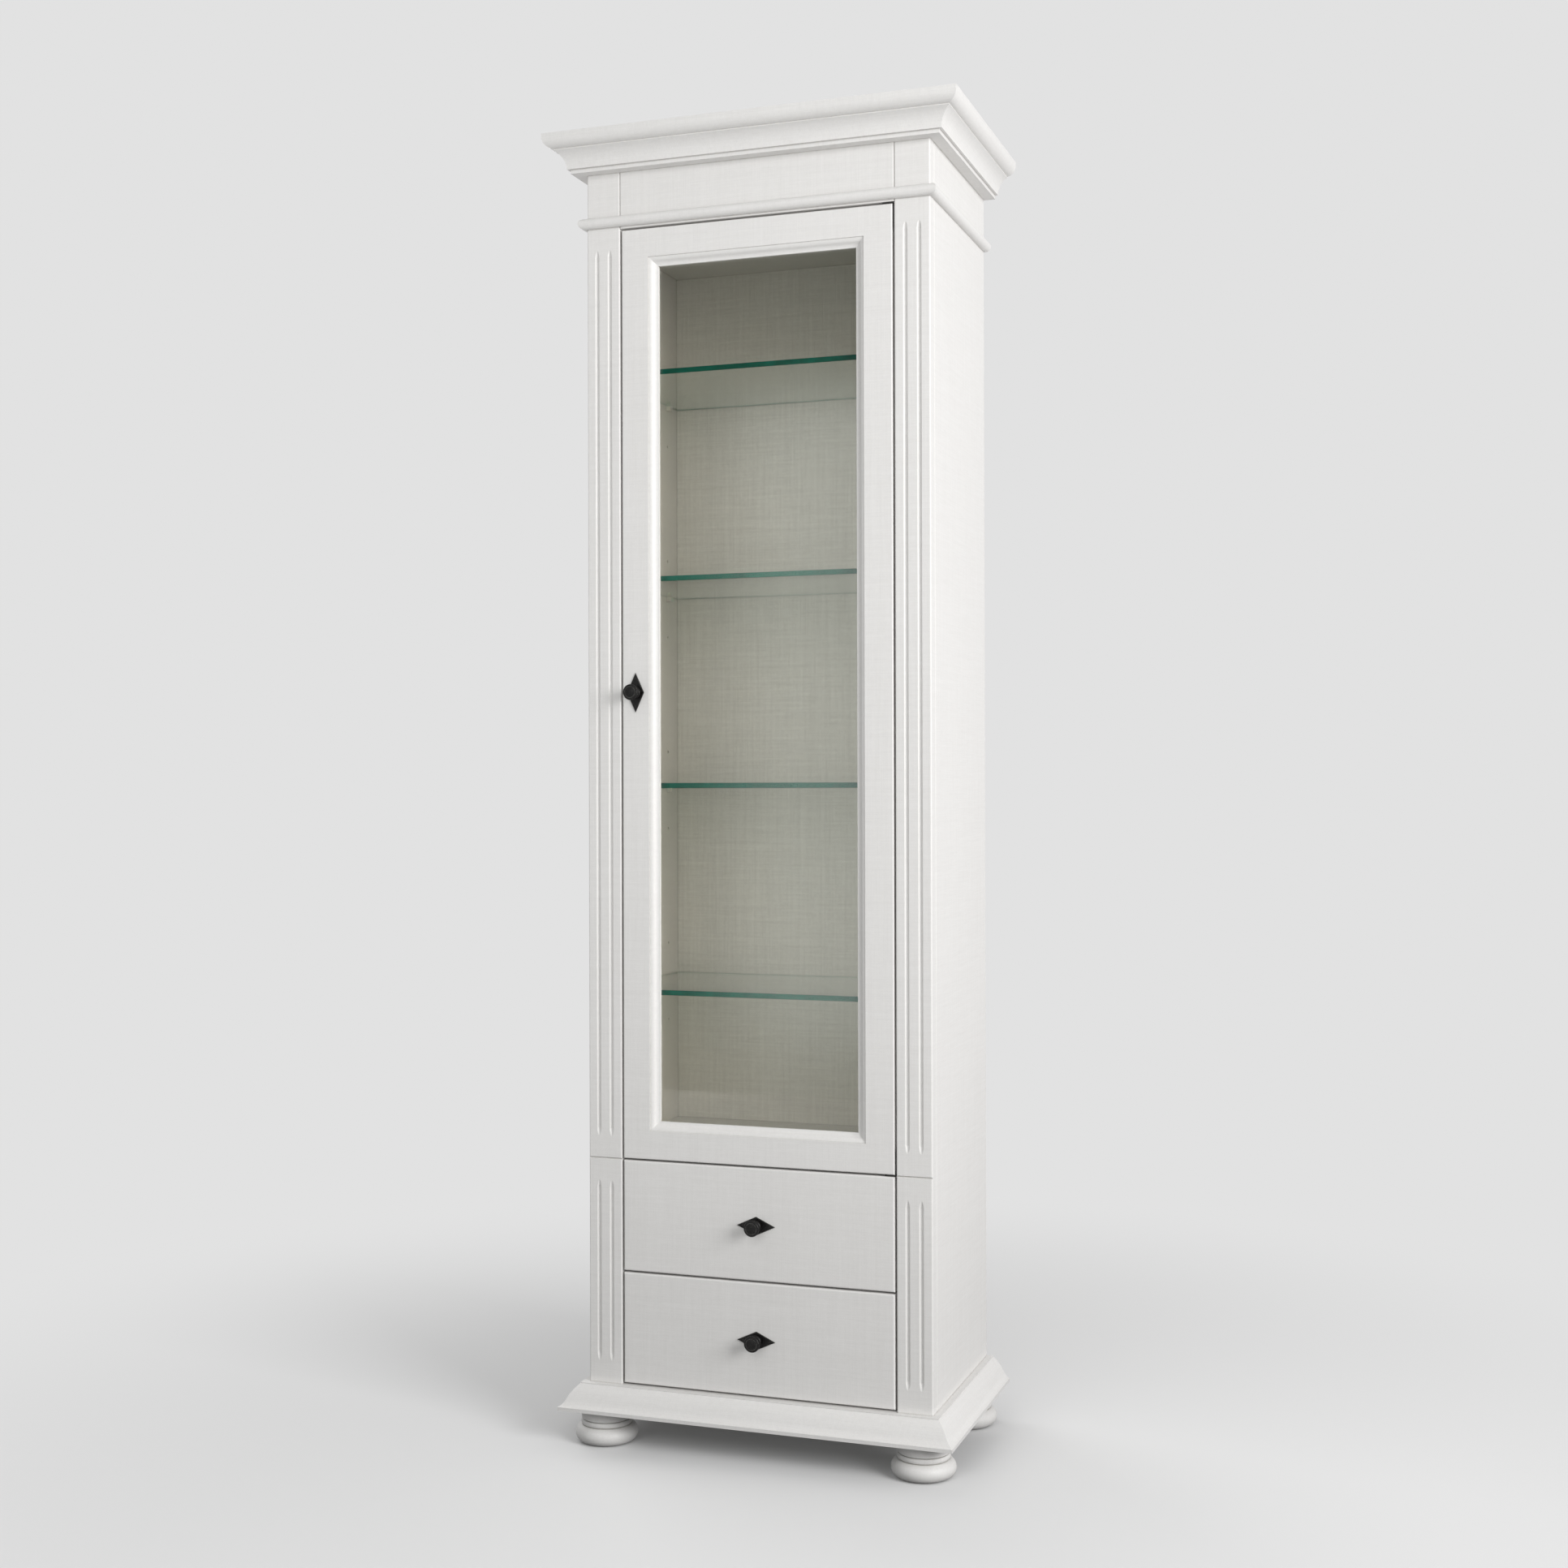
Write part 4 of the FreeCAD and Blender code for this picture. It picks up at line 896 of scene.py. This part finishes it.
class CABINET_OT_catch(bpy.types.Operator):
    """Finish the magnetic catch, its steel strips and screws, and the door's strike plate"""

    bl_idname = "cabinet.catch"
    bl_label = "Finish the door catch"

    # Shares of half the catch's size: the strips' reach and levels, and the screws' place
    POLE_REACH = 0.6
    POLE_LEVELS = (-0.4, 0.1)
    SCREW_OUT = 0.72
    SCREW_BACK = 0.3
    # Shares of the strike's thickness, of what a strip stands proud, and of the strike's length
    POLE_PROUD = 0.4
    STRIKE_EASE = 0.25
    POLE_EASE = 0.3
    STRIKE_SCREW_OUT = 0.36

    def execute(self, context):
        finish, trim = context.scene.cabinet_finish, context.scene.cabinet_trim
        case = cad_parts["door_catch"]
        steel = drawn_steel(finish, "plated_steel", finish.steel)
        finish_nodes([case], milky_plastic(finish))
        ease_edges(case, 2 * trim.eased_edge)
        self.poles(trim, steel)
        self.strike(trim, steel)
        return {"FINISHED"}

    def poles(self, trim, material):
        """Two steel strips beside the magnet, and the screws from below."""
        low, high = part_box("door_catch")
        middle, half = (low + high) / 2, (high - low) / 2
        proud = trim.strike_thickness * self.POLE_PROUD
        reach = half.x * self.POLE_REACH
        size = Vector((2 * reach, 2 * proud, trim.pole_height))
        shape = bmesh.new()
        for level in self.POLE_LEVELS:
            corner = Vector((middle.x - reach, low.y - proud, middle.z + half.z * level))
            plate(shape, corner, corner + size, proud * self.POLE_EASE)
        y = middle.y + half.y * self.SCREW_BACK
        for side in (-1, 1):
            point = Vector((middle.x + side * half.x * self.SCREW_OUT, y, low.z))
            screw_head(shape, trim.screw_radius, aimed(point, DOWNWARD), trim.turning_steps)
        add_piece("catch_poles_and_screws", shape, material, "carcass")

    def strike(self, trim, material):
        """The steel plate on the back of the door that meets the catch."""
        catch_low, catch_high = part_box("door_catch")
        rail_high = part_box("door_rail_top")[1]
        x = (catch_low.x + catch_high.x) / 2
        top = rail_high.z - trim.strike_drop
        low = Vector((x - trim.strike_length / 2, rail_high.y, top - trim.strike_height))
        high = Vector((x + trim.strike_length / 2, rail_high.y + trim.strike_thickness, top))
        shape = bmesh.new()
        plate(shape, low, high, trim.strike_thickness * self.STRIKE_EASE)
        out = trim.strike_length * self.STRIKE_SCREW_OUT
        for side in (-1, 1):
            placing = aimed(Vector((x + side * out, high.y, (low.z + high.z) / 2)), REARWARD)
            screw_head(shape, trim.strike_screw_radius, placing, trim.turning_steps)
        add_piece("catch_strike_plate", shape, material, "door")


class CABINET_OT_bead_pins(bpy.types.Operator):
    """Pin the glazing beads behind the pane"""

    bl_idname = "cabinet.bead_pins"
    bl_label = "Pin the glazing beads"

    def execute(self, context):
        finish, trim = context.scene.cabinet_finish, context.scene.cabinet_trim
        low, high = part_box("glazing_beads")
        inset = (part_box("door_moulding_left")[1].x - low.x) / 2
        across, upwards = (low.x + inset, high.x - inset), (low.z + inset, high.z - inset)
        points = [(x, z) for z in upwards for x in self.spaced(*across, trim.pin_spacing)]
        points += [(x, z) for x in across for z in self.spaced(*upwards, trim.pin_spacing)]
        shape = bmesh.new()
        for x, z in points:
            placing = aimed(Vector((x, high.y, z)), REARWARD)
            domed_head(shape, trim.pin_radius, placing, trim.turning_steps)
        steel = drawn_steel(finish, "plated_steel", finish.steel)
        add_piece("glazing_bead_pins", shape, steel, "door")
        return {"FINISHED"}

    def spaced(self, start, end, spacing):
        """Evenly spaced places along a bead, half a step from its ends."""
        count = math.ceil((end - start) / spacing)
        step = (end - start) / count
        return [start + (index + 0.5) * step for index in range(count)]


class CABINET_OT_stage(bpy.types.Operator):
    """Set the camera, a pale floor and soft studio light"""

    bl_idname = "cabinet.stage"
    bl_label = "Set the studio"

    # How the card dims: an axis, the shares of its size where it is dimmest and where it is full,
    # and what is left at its dimmest. It dims to its left, to its top and to the floor.
    CARD_FADES = (("X", 0.11, 0.58, 0.15), ("Y", 0.80, 0.69, 0.0), ("Y", 0.0, 0.12, 0.4))

    def execute(self, context):
        stage = context.scene.cabinet_stage
        context.scene.view_settings.view_transform = "Standard"
        self.set_camera(context, stage)
        self.set_world(context, stage)
        self.lay_floor(context, stage)
        self.hang_lamp(context, "key_lamp", stage.key, stage.key_lamp, stage.key_size)
        self.hang_lamp(context, "front_lamp", stage.front, stage.front_lamp, stage.front_size)
        self.hang_lamp(context, "rear_lamp", stage.rear, stage.rear_lamp, stage.rear_size)
        self.stand_card(context, stage)
        return {"FINISHED"}

    def set_camera(self, context, stage):
        lens = bpy.data.cameras.new("camera")
        lens.lens = stage.lens
        camera = bpy.data.objects.new("camera", lens)
        context.scene.collection.objects.link(camera)
        level = Matrix.Rotation(stage.heading, 4, "Z")
        facing = level @ Matrix.Rotation(math.pi / 2 + stage.tilt, 4, "X")
        leaning = Matrix.Rotation(stage.roll, 4, "Z")
        camera.matrix_world = Matrix.Translation(stage.camera) @ facing @ leaning
        context.scene.camera = camera

    def seen(self, tree):
        """1 for what the camera sees, also in metal and through glass."""
        path = put(tree, "ShaderNodeLightPath").outputs
        shown = reckoned(tree, "MAXIMUM", path["Is Camera Ray"], path["Is Glossy Ray"])
        shown = reckoned(tree, "MAXIMUM", shown, path["Is Transmission Ray"])
        not_scattered = reckoned(tree, "LESS_THAN", path["Diffuse Depth"], 0.5)
        return reckoned(tree, "MULTIPLY", shown, not_scattered)

    def set_world(self, context, stage):
        world = bpy.data.worlds.new("studio")
        world.use_nodes = True
        tree = world.node_tree
        tree.nodes.clear()
        sockets = {"Color": WHITE, "Strength": stage.fill}
        light = put(tree, "ShaderNodeBackground", sockets).outputs[0]
        shown = put(tree, "ShaderNodeBackground", {"Color": opaque(stage.backdrop)}).outputs[0]
        mixed = mixed_shader(tree, self.seen(tree), light, shown)
        put(tree, "ShaderNodeOutputWorld", {"Surface": mixed})
        context.scene.world = world

    def set_out(self, context, name, shape, placing, material):
        """Places a shape of the studio."""
        mesh = bpy.data.meshes.new(name)
        shape.to_mesh(mesh)
        shape.free()
        mesh.materials.append(material)
        made = bpy.data.objects.new(name, mesh)
        made.matrix_world = placing
        context.scene.collection.objects.link(made)
        return made

    def lay_floor(self, context, stage):
        """A round floor that fades into the backdrop away from the cabinet."""
        shape = bmesh.new()
        bmesh.ops.create_circle(shape, cap_ends=True, segments=96, radius=stage.floor_radius)
        placing = Matrix.Translation((0, 0, -stage.floor_drop))
        floor = self.set_out(context, "studio_floor", shape, placing, self.floor_finish(stage))

    def floor_finish(self, stage):
        ground = Surface(
            "studio_floor", Roughness=0.9, Specular_IOR_Level=0.0, Base_Color=opaque(stage.floor)
        )
        tree = ground.tree
        away = vectors(tree, "LENGTH", ground.place, result="Value")
        fade = spread(tree, away, stage.fade_start, stage.fade_end, curve="SMOOTHSTEP")
        glow = put(tree, "ShaderNodeEmission", {"Color": opaque(stage.backdrop)}).outputs[0]
        shown = mixed_shader(tree, fade, ground.shader.outputs[0], glow)
        sent = blended(tree, fade, opaque(stage.floor_bounce), opaque(stage.up_light))
        lit = put(tree, "ShaderNodeEmission", {"Color": sent}).outputs[0]
        mixed = mixed_shader(tree, self.seen(tree), lit, shown)
        tree.links.new(mixed, ground.output.inputs["Surface"])
        return ground.material

    def hang_lamp(self, context, name, watts, point, size):
        """A soft square lamp, turned to the middle of the cabinet."""
        lamp = bpy.data.lights.new(name, "AREA")
        lamp.energy = watts
        lamp.size = size
        hung = bpy.data.objects.new(name, lamp)
        context.scene.collection.objects.link(hung)
        aim = (cad_box[0] + cad_box[1]) / 2 - Vector(point)
        turn = aim.to_track_quat("-Z", "Y").to_matrix().to_4x4()
        hung.matrix_world = Matrix.Translation(point) @ turn
        hung.visible_camera = False

    def stand_card(self, context, stage):
        """A tall pale card in front, which the door's pane mirrors as a soft veil."""
        shape = bmesh.new()
        bmesh.ops.create_grid(shape, x_segments=1, y_segments=1, size=0.5)
        upright = Matrix.Translation(stage.card) @ Matrix.Rotation(math.pi / 2, 4, "X")
        placing = upright @ Matrix.Diagonal((stage.card_width, stage.card_height, 1, 1))
        card = self.set_out(context, "pale_card", shape, placing, self.card_finish(stage))
        card.visible_camera = False

    def card_finish(self, stage):
        glow = bpy.data.materials.new("pale_card")
        glow.use_nodes = True
        tree = glow.node_tree
        tree.nodes.clear()
        corner = put(tree, "ShaderNodeTexCoord").outputs["Generated"]
        across = put(tree, "ShaderNodeSeparateXYZ", {0: corner}).outputs
        brightness = stage.veil
        for axis, dimmest, full, least in self.CARD_FADES:
            fade = spread(tree, across[axis], dimmest, full, least, curve="SMOOTHERSTEP")
            brightness = reckoned(tree, "MULTIPLY", fade, brightness)
        sockets = {"Color": opaque(stage.veil_tint), "Strength": brightness}
        light = put(tree, "ShaderNodeEmission", sockets).outputs[0]
        put(tree, "ShaderNodeOutputMaterial", {"Surface": light})
        return glow


class CABINET_PT_sidebar(bpy.types.Panel):
    """Steps that finish the cabinet"""

    bl_idname = "CABINET_PT_sidebar"
    bl_label = "Display cabinet"
    bl_space_type = "VIEW_3D"
    bl_region_type = "UI"
    bl_category = "Cabinet"

    def draw(self, context):
        for step in STEPS:
            self.layout.operator(step.bl_idname)
        for group in GROUPS:
            part = self.layout.box()
            settings = getattr(context.scene, group)
            for name in settings.bl_rna.properties.keys():
                if name not in ("name", "rna_type"):
                    part.prop(settings, name)


GROUPS = {
    "cabinet_finish": CabinetFinish,
    "cabinet_trim": CabinetTrim,
    "cabinet_stage": CabinetStage,
}
STEPS = (
    CABINET_OT_stage,
    CABINET_OT_paint,
    CABINET_OT_drawer_wood,
    CABINET_OT_pane,
    CABINET_OT_shelves,
    CABINET_OT_knobs,
    CABINET_OT_hinges,
    CABINET_OT_pegs,
    CABINET_OT_catch,
    CABINET_OT_bead_pins,
)
CLASSES = (*GROUPS.values(), *STEPS, CABINET_PT_sidebar)


def register():
    for made in CLASSES:
        bpy.utils.register_class(made)
    for name, made in GROUPS.items():
        setattr(bpy.types.Scene, name, PointerProperty(type=made))


def unregister():
    for name in GROUPS:
        delattr(bpy.types.Scene, name)
    for made in reversed(CLASSES):
        bpy.utils.unregister_class(made)


def main():
    register()
    bpy.ops.cabinet.stage()
    bpy.ops.cabinet.paint()
    bpy.ops.cabinet.drawer_wood()
    bpy.ops.cabinet.pane()
    bpy.ops.cabinet.shelves()
    bpy.ops.cabinet.knobs()
    bpy.ops.cabinet.hinges()
    bpy.ops.cabinet.pegs()
    bpy.ops.cabinet.catch()
    bpy.ops.cabinet.bead_pins()


if __name__ == "__main__":
    main()
